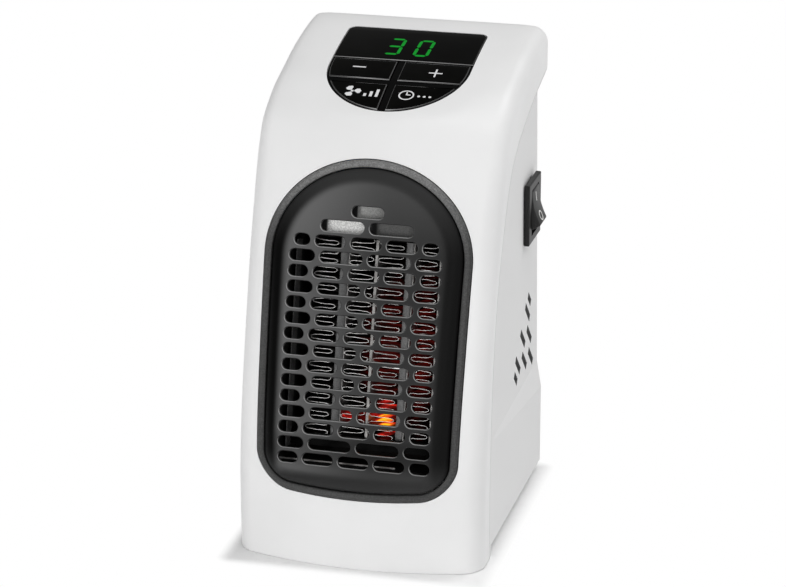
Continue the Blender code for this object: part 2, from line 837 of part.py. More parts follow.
def housing_block(inset, y_front, y_rear, z_low, z_high):
    """A tapered block whose sides follow the housing's width, less an inset."""
    levels = [z_low, FLARE_LOW, FLARE_HIGH, z_high]
    work = bmesh.new()
    rings = []
    for y in (y_front, y_rear):
        right = [work.verts.new((housing_half(y, z) - inset, y, z)) for z in levels]
        left = [work.verts.new((inset - housing_half(y, z), y, z)) for z in levels]
        rings.append(right + left[::-1])
    front, rear = rings
    work.faces.new(front)
    work.faces.new(rear[::-1])
    for i in range(len(front)):
        k = (i + 1) % len(front)
        work.faces.new((front[k], front[i], rear[i], rear[k]))
    return from_bmesh(work)


def seam_cutter():
    """What lies in front of and above the seam, for the rear housing."""
    _, seam = station_lines()
    line = [p - n * GAP for p, n in zip(seam, normals_along(seam))]
    far = BODY_HEIGHT + BODY_DEPTH
    outline = [(-far, -far), (line[0].x, -far)] + [tuple(p) for p in line]
    outline += [(far, line[-1].y), (far, far * 2), (-far, far * 2)]
    across = Matrix(((0, 0, 1, 0), (1, 0, 0, 0), (0, 1, 0, 0), (0, 0, 0, 1)))
    return plate([outline], BODY_WIDTH * 2, across)


def seam_lips():
    """On each side, the strip under the seam that flares out to the cover's width."""
    _, seam = station_lines()
    lips = []
    for side in (-1, 1):
        edge = side * BODY_WIDTH / 2
        loops = []
        for p, n in zip(seam, normals_along(seam)):
            top = p - n * GAP
            low = p - n * (GAP + SEAM_LIP)
            for end in (top, low):
                end.x = min(end.x, -ROOT_OVERLAP)
            root = side * (housing_half(*top) - WALL / 2)
            foot = side * (housing_half(*low) - WALL / 2)
            skin = side * housing_half(*low)
            loops.append([(edge, *top), (root, *top), (foot, *low), (skin, *low)])
        work = bmesh.new()
        rings = [[work.verts.new(point) for point in loop] for loop in loops]
        for ring, after in zip(rings, rings[1:]):
            for j in range(4):
                k = (j + 1) % 4
                work.faces.new((ring[j], ring[k], after[k], after[j]))
        work.faces.new(rings[0])
        work.faces.new(rings[-1])
        lips.append(from_bmesh(work))
    return lips


def tongue():
    """The rear wall's upper part, inside the cover's rim."""
    half = HOUSING_TOP_HALF - GAP
    low = STATION_SHARES[-1][3] * BODY_HEIGHT
    high = low + TONGUE_HEIGHT
    outline = arc((half - TONGUE_CORNER, high - TONGUE_CORNER), TONGUE_CORNER, 0, math.pi / 2, 3)
    outline += arc((TONGUE_CORNER - half, high - TONGUE_CORNER), TONGUE_CORNER, math.pi / 2, math.pi, 3)
    outline += [(-half, low - WALL * 2), (half, low - WALL * 2)]
    middle = -WALL / 2 - GAP
    stand = Matrix.Translation((0, middle, 0)) @ Matrix.Rotation(math.pi / 2, 4, "X")
    return plate([outline], WALL, stand)


def slant_slot(y, z, length):
    slot = box((BODY_WIDTH * 2, length, VENT_WIDTH), (0, 0, 0))
    slot.data.transform(Matrix.Translation((0, y, z)) @ Matrix.Rotation(VENT_SLANT, 4, "X"))
    return slot


def side_vents():
    low = BODY_HEIGHT - VENT_LOW_FALL
    places = []
    for row, count in enumerate(VENT_ROW_COUNTS):
        for i in range(count):
            y = -VENT_REAR_DEPTH - row * VENT_ROW_SHIFT - i * VENT_PITCH
            places.append((y, low + row * VENT_ROW_PITCH + i * VENT_RISE))
    slots = [slant_slot(y, z, VENT_LENGTH) for y, z in places]
    foremost = places[VENT_ROW_COUNTS[0] - 1]
    for (y, z), way in ((foremost, -1), (places[-1], 1)):
        step = way * VENT_SHORT_STEP
        slots.append(slant_slot(y + step, z + step, VENT_SHORT_LENGTH))
    return slots


def rear_vents():
    slots = []
    for i in range(REAR_SLOT_COUNT):
        z = REAR_SLOT_LOW + i * REAR_SLOT_PITCH
        slots.append(box((REAR_SLOT_WIDTH, WALL * 3, REAR_SLOT_HEIGHT), (0, 0, z)))
    return slots


def fan_front():
    return -FAN_REAR - FAN_DEEP


def fan_ribs():
    """Ribs of the side walls that hold the fan's frame between them."""
    ribs = []
    for side in (-1, 1):
        for y, inner in (
            (fan_front() - GAP - RIB_THICK / 2, max(FAN_WIDE / 2 - RIB_BITE, DUCT_HALF + GAP)),
            (-FAN_REAR + GAP + RIB_THICK / 2, FAN_WIDE / 2 - RIB_BITE),
        ):
            outer = housing_half(y, FAN_HEIGHT + FAN_TALL / 2) - WALL / 2
            low = FAN_HEIGHT - FAN_TALL / 2
            high = FAN_HEIGHT + FAN_TALL / 2
            near, far = sorted((side * inner, side * outer))
            ribs.append(span_box((near, y - RIB_THICK / 2, low), (far, y + RIB_THICK / 2, high)))
    return ribs


def board_posts():
    posts = []
    for x in (CONTROL_LEFT + BOARD_POST_INSET, CONTROL_RIGHT - BOARD_POST_INSET):
        for z in (CONTROL_LOW + BOARD_POST_INSET, CONTROL_HIGH - BOARD_POST_INSET):
            posts.append(cylinder(BOARD_POST_RADIUS, (x, -WALL / 2, z), (x, -CONTROL_DEPTH + GAP, z), 12))
    return posts


def carrier_rear():
    """y of the contact carrier's rear face."""
    return -WALL - GAP - FLANGE_THICK - GAP - SLIP_THICK - CARRIER_STAND


def carrier_posts():
    posts = []
    for side in (-1, 1):
        x = side * CARRIER_POST_X
        tip = (x, carrier_rear() + GAP, PLUG_HEIGHT)
        posts.append(cylinder(CARRIER_POST_RADIUS, (x, -WALL / 2, PLUG_HEIGHT), tip, 12))
    return posts


def rear_housing():
    low = HOUSING_FLOOR
    high = STATION_SHARES[-1][3] * BODY_HEIGHT
    front = -STATION_SHARES[2][2] * BODY_DEPTH - OVERRUN
    housing = housing_block(0, front, 0, low, high)
    bevel = housing.modifiers.new("edges", "BEVEL")
    bevel.width = WALL / 2
    bevel.segments = 1
    bevel.limit_method = "ANGLE"
    bevel.angle_limit = math.radians(60)
    cut(housing, housing_block(WALL, front - OVERRUN, -WALL, low + WALL, high + OVERRUN))
    cut(housing, seam_cutter())
    join(housing, *seam_lips())
    join(housing, tongue(), *fan_ribs(), *board_posts(), *carrier_posts())
    for x, z, _ in screw_places():
        front_end = boss_end(z) + GAP
        join(housing, cylinder(SCREW_POST_RADIUS, (x, front_end, z), (x, -WALL / 2, z), 16))
        cut(housing, cylinder(SCREW_POST_BORE, (x, front_end + SCREW_POST_FLOOR, z), (x, OVERRUN, z), 16))
        cut(housing, cylinder(BOSS_BORE, (x, front_end - OVERRUN, z), (x, front_end + OVERRUN, z), 12))
    cut(housing, *side_vents(), *rear_vents())
    half_deep = SWITCH_BODY_DEEP / 2 + GAP
    half_tall = SWITCH_BODY_TALL / 2 + GAP
    hole_low = (BODY_WIDTH / 4, -SWITCH_DEPTH - half_deep, SWITCH_HEIGHT - half_tall)
    hole_high = (BODY_WIDTH, -SWITCH_DEPTH + half_deep, SWITCH_HEIGHT + half_tall)
    cut(housing, span_box(hole_low, hole_high))
    cut(housing, cylinder(TURNTABLE_RADIUS + GAP, (0, -WALL * 2, PLUG_HEIGHT), (0, OVERRUN, PLUG_HEIGHT), 36))
    return finish(housing, "rear_housing", (0.83, 0.83, 0.84), 0.42)


def screws():
    for number, (x, z, _) in enumerate(screw_places(), 1):
        seat = boss_end(z) + GAP + SCREW_POST_FLOOR + GAP
        profile = (
            (0, 0),
            (SCREW_HEAD_RADIUS, 0),
            (SCREW_HEAD_RADIUS, -SCREW_HEAD_TALL),
            (SCREW_SHANK_RADIUS, -SCREW_HEAD_TALL),
            (SCREW_SHANK_RADIUS, -SCREW_HEAD_TALL - SCREW_SHANK_LONG + SCREW_SHANK_RADIUS),
            (0, -SCREW_HEAD_TALL - SCREW_SHANK_LONG),
        )
        screw = turned(profile, (x, seat + SCREW_HEAD_TALL, z), (0, 1, 0), 12)
        finish(screw, f"housing_screw_{number}", (0.55, 0.55, 0.56), 0.35, 1.0)


# Air outlet


def grille_ring():
    height = surface_finder()
    skin = [height(x, s) for x, s in arch_outline(-GAP)]

    def loop(inset, rise):
        return shaped_loop(inset, [h + rise for h in skin])

    ring = loft(
        [
            loop(0, -RING_SINK),
            loop(0, RING_PROUD - RING_CHAMFER),
            loop(RING_CHAMFER, RING_PROUD),
            loop(RING_BAND - RING_CHAMFER, RING_PROUD),
            loop(RING_BAND, RING_PROUD - RING_CHAMFER * 2),
            loop(RING_BAND, -RING_SINK),
        ]
    )
    return finish(ring, "grille_ring", (0.075, 0.078, 0.082), 0.62)


def slot_outline(left, right, s):
    radius = SLOT_HEIGHT / 2
    points = arc((right - radius, s), radius, -math.pi / 2, math.pi / 2, SLOT_END_STEPS)
    return points + arc((left + radius, s), radius, math.pi / 2, math.pi * 3 / 2, SLOT_END_STEPS)


def slot_row(field, end, count, s):
    """A row across the field: its end slots share what the slots between leave."""
    middle = (SLOT_FIELD - 2 * end - (count - 1) * SLOT_GAP) / (count - 2)
    end -= (SLOT_FIELD - field) / 2
    widths = [end] + [middle] * (count - 2) + [end]
    slots = []
    x = -field / 2
    for width in widths:
        slots.append(slot_outline(x, x + width, s))
        x += width + SLOT_GAP
    return slots


def outlet_slots():
    slots = []
    for row in range(SLOT_ROWS):
        s = SLOT_TOP_ROW - row * SLOT_PITCH
        odd = row % 2 == 0
        field = SLOT_FIELD if row else SLOT_FIELD - TOP_ROW_INSET
        slots += slot_row(field, ODD_END if odd else EVEN_END, 5 if odd else 4, s)
    pair = SLOT_TOP_ROW + SLOT_PITCH
    slots.append(slot_outline(-SLOT_GAP / 2 - CROWN_PAIR_SLOT, -SLOT_GAP / 2, pair))
    slots.append(slot_outline(SLOT_GAP / 2, SLOT_GAP / 2 + CROWN_PAIR_SLOT, pair))
    crown_half = CROWN_PAIR_SLOT * CROWN_SLOT_SHARE / 2
    slots.append(slot_outline(-crown_half, crown_half, pair + SLOT_PITCH))
    return slots


def slot_cutters():
    """One prism through the panel for each slot, in one mesh."""
    frame = face_frame()
    work = bmesh.new()
    for outline in outlet_slots():
        ends = []
        for h in (-PANEL_THICKNESS * 2, PANEL_THICKNESS):
            ends.append([work.verts.new(frame @ Vector((x, s, h))) for x, s in outline])
        low, high = ends
        work.faces.new(low[::-1])
        work.faces.new(high)
        for i in range(len(outline)):
            k = (i + 1) % len(outline)
            work.faces.new((low[i], low[k], high[k], high[i]))
    return from_bmesh(work)


def grille_panel():
    """The slotted field stands forward of the ring; its border curves back to it."""
    height = surface_finder()
    outer = RING_BAND + GAP
    skin = [height(x, s) for x, s in arch_outline(outer)]
    shoulder = outer + (PANEL_BORDER - outer) * PANEL_SHOULDER_SHARE
    foot = [h - PANEL_SINK for h in skin]
    middle = [h * (1 - PANEL_SHOULDER_RISE_SHARE) for h in foot]
    flat = [-PANEL_THICKNESS / 10] * len(skin)

    def back(heights):
        return [h - PANEL_THICKNESS for h in heights]

    inner = PANEL_BORDER + PANEL_LAP
    under = [-PANEL_THICKNESS * 9 / 10] * len(skin)
    border = loft(
        [
            shaped_loop(outer, back(foot)),
            shaped_loop(outer, foot),
            shaped_loop(shoulder, middle),
            shaped_loop(inner, flat),
            shaped_loop(inner, under),
            shaped_loop(shoulder, back(middle)),
        ]
    )
    field_frame = face_frame() @ Matrix.Translation((0, 0, -PANEL_THICKNESS / 2))
    field = plate([arch_outline(PANEL_BORDER)], PANEL_THICKNESS, field_frame)
    join(field, border)
    cut(field, slot_cutters())
    return finish(field, "grille_panel", (0.035, 0.037, 0.040), 0.48)


# Key panel


def display_slab(top, bottom):
    """A sheet between two depths under the facet, which is an arc of FACET_RADIUS."""
    reach = DISPLAY_TOP + DISPLAY_NOSE

    def line(depth):
        points = []
        for i in range(-6, 7):
            angle = i / 6 * reach / FACET_RADIUS
            radius = FACET_RADIUS - depth
            points.append((radius * math.sin(angle), radius * math.cos(angle) - FACET_RADIUS))
        return points

    across = Matrix(((0, 0, 1, 0), (1, 0, 0, 0), (0, 1, 0, 0), (0, 0, 0, 1)))
    return plate([line(top) + line(bottom)[::-1]], reach * 2, across)


def display_prism(*outlines):
    return plate(outlines, (DISPLAY_BOARD_TOP + BOARD_THICKNESS) * 3)


def rectangle(x0, x1, s0, s1):
    return [(x0, s0), (x1, s0), (x1, s1), (x0, s1)]


def clipped(outline, axis, level, way):
    """The part of an outline beyond a level of one axis, upwards or downwards."""
    points = []
    for a, b in zip(outline, outline[1:] + outline[:1]):
        a_in = (a[axis] - level) * way >= 0
        b_in = (b[axis] - level) * way >= 0
        if a_in:
            points.append(a)
        if a_in != b_in:
            t = (level - a[axis]) / (b[axis] - a[axis])
            points.append((a[0] + (b[0] - a[0]) * t, a[1] + (b[1] - a[1]) * t))
    return points


def key_area(name, inset, margin):
    """A key's outline, or its pocket's: less inset from the panel's outline, and with a
    margin from the lines between the keys."""
    side = 1 if name in ("plus", "timer") else -1
    outline = clipped(display_outline(-inset), 0, side * (KEY_SPLIT_HALF + margin), side)
    if name in ("speed", "timer"):
        return clipped(outline, 1, LOWER_KEY_TOP - margin, -1)
    outline = clipped(outline, 1, UPPER_KEY_LOW + margin, 1)
    return clipped(outline, 1, LENS_LINE - LENS_RIDGE - 2 * GAP - margin, -1)


def place_display_piece(piece, name, colour, roughness, metallic=0.0, parent=None):
    piece.data.transform(display_frame())
    return finish(piece, name, colour, roughness, metallic, parent)


def stem_places():
    return {
        "minus": (-UPPER_STEM_X, UPPER_STEM_S),
        "plus": (UPPER_STEM_X, UPPER_STEM_S),
        "speed": (-LOWER_STEM_X, LOWER_STEM_S),
        "timer": (LOWER_STEM_X, LOWER_STEM_S),
    }


def display_bezel():
    """The black tray under the lens and the keys, with the bars between the keys."""
    holes = [arc(place, KEY_STEM_RADIUS + GAP, 0, 2 * math.pi, 12)[:-1] for place in stem_places().values()]
    window = rectangle(
        -DIGITS_WIDTH / 2 - GAP,
        DIGITS_WIDTH / 2 + GAP,
        DIGITS_PLACE - DIGITS_LENGTH / 2 - GAP,
        DIGITS_PLACE + DIGITS_LENGTH / 2 + GAP,
    )
    tray = display_prism(display_outline(TRAY_FLANGE), window, *holes)
    keep_common(tray, display_slab(TRAY_TOP, TRAY_TOP + TRAY_THICKNESS))
    lower = clipped(display_outline(-GAP), 1, LENS_LINE - GAP, -1)
    pockets = [key_area(name, GAP + TRAY_RIM, -GAP) for name in stem_places()]
    rim = keep_common(display_prism(lower, *pockets), display_slab(RIDGE_TOP, TRAY_TOP + TRAY_THICKNESS / 2))
    join(tray, rim)
    for x in (-TRAY_POST_X, TRAY_POST_X):
        for s in (TRAY_POST_LOW, TRAY_POST_HIGH):
            top = (x, s, -TRAY_TOP - TRAY_THICKNESS * 2 / 3)
            join(tray, cylinder(TRAY_POST_RADIUS, (x, s, -DISPLAY_BOARD_TOP + GAP), top, 10))
    return place_display_piece(tray, "display_bezel", (0.012, 0.012, 0.012), 0.32)


def display_lens():
    outline = clipped(display_outline(-GAP), 1, LENS_LINE, 1)
    lens = keep_common(display_prism(outline), display_slab(0, LENS_THICKNESS))
    return place_display_piece(lens, "display_lens", (0.008, 0.008, 0.008), 0.08)


def key(name):
    x, s = stem_places()[name]
    outline = key_area(name, 2 * GAP + TRAY_RIM, 0)
    body = keep_common(display_prism(outline), display_slab(0, KEY_THICKNESS))
    stem_end = -DISPLAY_BOARD_TOP + GAP + TACT_HEIGHT + TACT_PIN_HEIGHT + KEY_TRAVEL + GAP / 2
    stem_top = -KEY_THICKNESS / 2 - s**2 / FACET_RADIUS
    join(body, cylinder(KEY_STEM_RADIUS, (x, s, stem_end), (x, s, stem_top), 12))
    holder = bpy.data.objects.new(f"key_{name}_slide", None)
    parts.objects.link(holder)
    holder.empty_display_size = TACT_SIZE
    holder.parent = heater
    frame = display_frame()
    holder.location = frame @ Vector((x, s, 0))
    piece = place_display_piece(body, f"key_{name}", (0.010, 0.010, 0.010), 0.22, parent=holder)
    piece.data.transform(Matrix.Translation(-holder.location))
    return piece


def display_board():
    board = span_box(
        (-DISPLAY_BOARD_HALF, DISPLAY_BOARD_LOW, -DISPLAY_BOARD_TOP - BOARD_THICKNESS),
        (DISPLAY_BOARD_HALF, DISPLAY_BOARD_HIGH, -DISPLAY_BOARD_TOP),
    )
    for x in (-1, 1):
        tip = (x * DISPLAY_BOARD_HALF, DISPLAY_BOARD_LOW, -DISPLAY_BOARD_TOP)
        corner = box((DISPLAY_BOARD_HALF / 2,) * 3, tip)
        corner.data.transform(
            Matrix.Translation((x * DISPLAY_BOARD_HALF, DISPLAY_BOARD_LOW, 0))
            @ Matrix.Rotation(math.pi / 4, 4, "Z")
            @ Matrix.Translation((-x * DISPLAY_BOARD_HALF, -DISPLAY_BOARD_LOW, 0))
        )
        cut(board, corner)
    return place_display_piece(board, "display_board", (0.05, 0.22, 0.09), 0.5)


def digit_module():
    base = -DISPLAY_BOARD_TOP + GAP
    module = span_box(
        (-DIGITS_WIDTH / 2, DIGITS_PLACE - DIGITS_LENGTH / 2, base),
        (DIGITS_WIDTH / 2, DIGITS_PLACE + DIGITS_LENGTH / 2, -TRAY_TOP - TRAY_THICKNESS / 2),
    )
    return place_display_piece(module, "digit_module", (0.03, 0.03, 0.03), 0.4)


def tact_switches():
    for name, (x, s) in stem_places().items():
        base = -DISPLAY_BOARD_TOP + GAP
        half = TACT_SIZE / 2
        body = span_box((x - half, s - half, base), (x + half, s + half, base + TACT_HEIGHT))
        top = base + TACT_HEIGHT + TACT_PIN_HEIGHT
        join(body, cylinder(TACT_PIN_RADIUS, (x, s, base + TACT_HEIGHT / 2), (x, s, top), 12))
        place_display_piece(body, f"tact_switch_{name}", (0.10, 0.10, 0.10), 0.45)


# Rocker switch


def bezel_back():
    """x of the bezel's back, just clear of the housing's wall."""
    return housing_half(-SWITCH_DEPTH - BEZEL_DEEP / 2, SWITCH_HEIGHT - BEZEL_TALL / 2) + GAP


def switch_case():
    back = bezel_back()
    face = back + BEZEL_PROUD
    y = -SWITCH_DEPTH
    z = SWITCH_HEIGHT
    case = span_box(
        (back, y - BEZEL_DEEP / 2, z - BEZEL_TALL / 2),
        (face, y + BEZEL_DEEP / 2, z + BEZEL_TALL / 2),
    )
    bevel = case.modifiers.new("edges", "BEVEL")
    bevel.width = BEZEL_EDGE
    bevel.segments = 2
    body = span_box(
        (back - SWITCH_BODY_LONG, y - SWITCH_BODY_DEEP / 2, z - SWITCH_BODY_TALL / 2),
        (back + BEZEL_PROUD / 2, y + SWITCH_BODY_DEEP / 2, z + SWITCH_BODY_TALL / 2),
    )
    pocket = span_box(
        (face - ROCKER_POCKET_LONG, y - ROCKER_POCKET_DEEP / 2, z - ROCKER_POCKET_TALL / 2),
        (face + OVERRUN, y + ROCKER_POCKET_DEEP / 2, z + ROCKER_POCKET_TALL / 2),
    )
    join(case, body)
    cut(case, pocket)
    return finish(case, "switch_case", (0.045, 0.045, 0.045), 0.42)


def rocker_outline():
    """(out of the bezel, up) about the rocker's pivot, before it is tipped."""
    half = ROCKER_HALF_TALL
    points = []
    for i in range(9):
        t = -1 + 2 * i / 8
        points.append((ROCKER_VALLEY + (ROCKER_TIP - ROCKER_VALLEY) * abs(t) ** 1.8 + ROCKER_PIVOT, half * t))
    points.append((ROCKER_PIVOT - ROCKER_END_DROP, ROCKER_END_HALF))
    points += arc((0, 0), ROCKER_SKIRT, math.radians(110), math.radians(250), 6)
    points.append((ROCKER_PIVOT - ROCKER_END_DROP, -ROCKER_END_HALF))
    return points


def rocker():
    pivot = bezel_back() + BEZEL_PROUD - ROCKER_PIVOT
    stand = Matrix.Rotation(math.pi / 2, 4, "X")
    body = plate([rocker_outline()], ROCKER_DEEP, Matrix.Rotation(-ROCKER_HALF_THROW, 4, "Y") @ stand)
    body.location = (pivot, -SWITCH_DEPTH, SWITCH_HEIGHT)
    return finish(body, "rocker", (0.030, 0.030, 0.030), 0.40)


def switch_terminals():
    back = bezel_back() - SWITCH_BODY_LONG - GAP
    for name, way in (("line", -1), ("load", 1)):
        z = SWITCH_HEIGHT + way * TERMINAL_SPREAD
        blade = span_box(
            (back - TERMINAL_LONG, -SWITCH_DEPTH - TERMINAL_WIDE / 2, z - TERMINAL_THICK / 2),
            (back, -SWITCH_DEPTH + TERMINAL_WIDE / 2, z + TERMINAL_THICK / 2),
        )
        finish(blade, f"switch_terminal_{name}", (0.75, 0.62, 0.34), 0.3, 1.0)


# Ceramic heater core


def core_box(x0, x1, s0, s1, front, depth):
    piece = span_box((x0, s0, -front - depth), (x1, s1, -front))
    piece.data.transform(face_frame())
    return piece


def fin_columns():
    """Left edge of each fin column, from the centre plate outwards on both sides."""
    inner = CENTRE_PLATE / 2 + GAP
    outer = inner + FIN_WIDTH + GAP + BAR_WIDTH + GAP
    return (-outer - FIN_WIDTH, -inner - FIN_WIDTH, inner, outer)


def bar_left():
    return CENTRE_PLATE / 2 + GAP + FIN_WIDTH + GAP


def fin_ribbon(left):
    """A folded sheet: legs that meet in sharp turns at alternate edges."""
    legs = round(2 * (CORE_DROP - FIN_SHEET) / FIN_PITCH)
    turn = FIN_SHEET * FIN_WIDTH / (FIN_PITCH + 2 * FIN_SHEET)
    near_side = []
    far_side = []
    for i in range(legs + 1):
        x = left + turn if i % 2 == 0 else left + FIN_WIDTH - turn
        s = CORE_TOP - FIN_SHEET - i * (CORE_DROP - 2 * FIN_SHEET) / legs
        near_side.append((x - turn, s))
        far_side.append((x + turn, s))
    frame = face_frame() @ Matrix.Translation((0, 0, -CORE_FRONT - CORE_DEPTH / 2))
    return plate([near_side + far_side[::-1]], CORE_DEPTH, frame)


def heater_core():
    for number, left in enumerate(fin_columns(), 1):
        finish(fin_ribbon(left), f"heat_fin_{number}", (0.74, 0.74, 0.75), 0.35, 1.0)
    low = CORE_TOP - CORE_DROP
    half = CENTRE_PLATE / 2
    plate_piece = core_box(-half, half, low, CORE_TOP, CORE_FRONT, CORE_DEPTH)
    finish(plate_piece, "centre_plate", (0.8, 0.8, 0.8), 0.3, 1.0)
    for name, side in (("left", -1), ("right", 1)):
        x0, x1 = sorted((side * bar_left(), side * (bar_left() + BAR_WIDTH)))
        bar = core_box(x0, x1, low, CORE_TOP, CORE_FRONT + BAR_RELIEF, CORE_DEPTH - BAR_RELIEF)
        finish(bar, f"ceramic_bar_{name}", (0.33, 0.33, 0.34), 0.6)
        edge = bar_left() + BAR_WIDTH + GAP + FIN_WIDTH + GAP
        x0, x1 = sorted((side * edge, side * (edge + END_PLATE)))
        end = core_box(x0, x1, low, CORE_TOP, CORE_FRONT, CORE_DEPTH)
        finish(end, f"end_plate_{name}", (0.7, 0.7, 0.71), 0.35, 1.0)


def core_clamps():
    """Bars across the duct that hold the core's ends in a shallow channel."""
    front = CORE_FRONT - (CLAMP_DEPTH - CORE_DEPTH) / 2
    half = DUCT_HALF - DUCT_WALL - GAP
    edge = bar_left() + BAR_WIDTH + FIN_WIDTH + END_PLATE + 3 * GAP
    for name, s, way in (("top", CORE_TOP, 1), ("bottom", CORE_TOP - CORE_DROP, -1)):
        near = s - way * CLAMP_SEAT
        far = s + way * (CLAMP_TALL - CLAMP_SEAT)
        bar = core_box(-half, half, min(near, far), max(near, far), front, CLAMP_DEPTH)
        seat = s + way * GAP
        beyond = s - way * OVERRUN
        channel = core_box(
            -edge - GAP,
            edge + GAP,
            min(seat, beyond),
            max(seat, beyond),
            CORE_FRONT - GAP,
            CORE_DEPTH + 2 * GAP,
        )
        cut(bar, channel)
        finish(bar, f"core_clamp_{name}", (0.10, 0.10, 0.10), 0.6)


# Duct


def duct_waist():
    """How far behind the outlet the duct's straight part ends."""
    return CORE_FRONT + CORE_DEPTH + DUCT_WAIST_BEHIND


def duct_stations(inset):
    """Top and foot of the duct, as points with x = 0, from the outlet to the fan."""
    frame = face_frame()
    front = (DUCT_FRONT_TOP - inset, -DUCT_FRONT_DROP + inset, -DUCT_FRONT)
    waist = (DUCT_WAIST_TOP - inset, -DUCT_WAIST_DROP + inset, -duct_waist())
    stations = []
    for top, foot, h in (front, waist):
        stations.append((frame @ Vector((0, top, h)), frame @ Vector((0, foot, h))))
    rear = fan_front() - GAP
    high = Vector((0, rear, FAN_HEIGHT + FAN_TALL / 2 - inset))
    low = Vector((0, rear, FAN_HEIGHT - FAN_TALL / 2 + inset))
    return stations + [(high, low)]


def duct_block(inset, overrun):
    """A block from the tilted outlet end, round the core, to the upright fan end."""
    stations = duct_stations(inset)
    for end, beside in ((0, 1), (-1, -2)):
        pairs = zip(stations[end], stations[beside])
        stations[end] = tuple(p + (p - q).normalized() * overrun for p, q in pairs)
    half = DUCT_HALF - inset
    work = bmesh.new()
    rings = []
    for high, low in stations:
        corners = [(x, p.y, p.z) for p, x in ((high, -half), (high, half), (low, half), (low, -half))]
        rings.append([work.verts.new(corner) for corner in corners])
    for ring, after in zip(rings, rings[1:]):
        for i in range(4):
            k = (i + 1) % 4
            work.faces.new((ring[i], ring[k], after[k], after[i]))
    work.faces.new(rings[0])
    work.faces.new(rings[-1])
    return from_bmesh(work)


def heater_duct():
    duct = cut(duct_block(0, 0), duct_block(DUCT_WALL, OVERRUN))
    return finish(duct, "heater_duct", (0.42, 0.42, 0.41), 0.6)


def mica_baffle():
    """The plate behind the top slots, with a tab that rests on the duct's roof."""
    front = PANEL_THICKNESS + BAFFLE_BEHIND
    half = BAFFLE_WIDTH / 2
    upright = core_box(-half, half, BAFFLE_LOW, BAFFLE_LOW + BAFFLE_TALL, front, BAFFLE_THICK)
    shelf = DUCT_FRONT_TOP + GAP
    back = front + BAFFLE_THICK / 2
    tab = core_box(-half, half, shelf, shelf + BAFFLE_THICK, back, DUCT_FRONT - front + BAFFLE_TAB)
    join(upright, tab)
    return finish(upright, "mica_baffle", (0.50, 0.50, 0.48), 0.55)


def roof_line():
    """The duct's roof over the core: its front end and its run to the back."""
    front, waist = [high for high, low in duct_stations(0)[:2]]
    return front, waist - front


def duct_roof(y):
    front, run = roof_line()
    return front.z + run.z * (y - front.y) / run.y


def roof_tilt():
    run = roof_line()[1]
    return math.atan2(run.z, run.y)


def roof_place(x):
    y = -CUTOUT_DEPTH
    return Matrix.Translation((x, y, duct_roof(y) + GAP)) @ Matrix.Rotation(roof_tilt(), 4, "X")


def thermal_cutout():
    body = span_box((-CUTOUT_WIDE / 2, -CUTOUT_LONG / 2, 0), (CUTOUT_WIDE / 2, CUTOUT_LONG / 2, CUTOUT_TALL))
    body.data.transform(roof_place(CUTOUT_X))
    return finish(body, "thermal_cutout", (0.12, 0.12, 0.12), 0.4)


def thermal_fuse():
    body = cylinder(FUSE_RADIUS, (0, -FUSE_LONG / 2, FUSE_RADIUS), (0, FUSE_LONG / 2, FUSE_RADIUS), 12)
    body.data.transform(roof_place(FUSE_X))
    return finish(body, "thermal_fuse", (0.72, 0.72, 0.70), 0.35)


# Fan


def fan_frame():
    front = fan_front()
    rear = -FAN_REAR
    frame = span_box(
        (-FAN_WIDE / 2, front, FAN_HEIGHT - FAN_TALL / 2),
        (FAN_WIDE / 2, rear, FAN_HEIGHT + FAN_TALL / 2),
    )
    cut(frame, cylinder(FAN_BORE, (0, front - OVERRUN, FAN_HEIGHT), (0, rear + OVERRUN, FAN_HEIGHT), 36))
    mount = cylinder(FAN_HUB, (0, rear - FAN_MOUNT, FAN_HEIGHT), (0, rear, FAN_HEIGHT), 24)
    for i in range(FAN_ARMS):
        arm = box((FAN_BORE + ROOT_OVERLAP, FAN_MOUNT, FAN_ARM_WIDE), ((FAN_BORE + ROOT_OVERLAP) / 2, 0, 0))
        turn = Matrix.Rotation(math.radians(45) + i * 2 * math.pi / FAN_ARMS, 4, "Y")
        arm.data.transform(Matrix.Translation((0, rear - FAN_MOUNT / 2, FAN_HEIGHT)) @ turn)
        join(mount, arm)
    root = (0, rear - FAN_MOUNT / 2, FAN_HEIGHT)
    tube = cylinder(TUBE_RADIUS, (0, front + FAN_HUB_WALL * 2, FAN_HEIGHT), root, 16)
    join(mount, tube)
    cut(mount, cylinder(SHAFT_RADIUS + GAP, (0, front - OVERRUN, FAN_HEIGHT), root, 12))
    join(frame, mount)
    return finish(frame, "fan_frame", (0.05, 0.05, 0.055), 0.5)


def fan_stator():
    rear = -FAN_REAR - FAN_MOUNT - GAP
    front = fan_front() + FAN_HUB_WALL * 3
    deep = front - rear
    profile = ((STATOR_RADIUS, 0), (STATOR_RADIUS, deep), (STATOR_BORE, deep), (STATOR_BORE, 0))
    stator = turned(profile, (0, rear, FAN_HEIGHT), (0, 1, 0), 20)
    return finish(stator, "fan_stator", (0.48, 0.22, 0.10), 0.45, 0.6)


def rotor_holder():
    holder = bpy.data.objects.get("fan_axis")
    if holder is None:
        holder = bpy.data.objects.new("fan_axis", None)
        parts.objects.link(holder)
        holder.empty_display_size = FAN_BORE
        holder.parent = heater
        holder.location = (0, fan_front(), FAN_HEIGHT)
    return holder


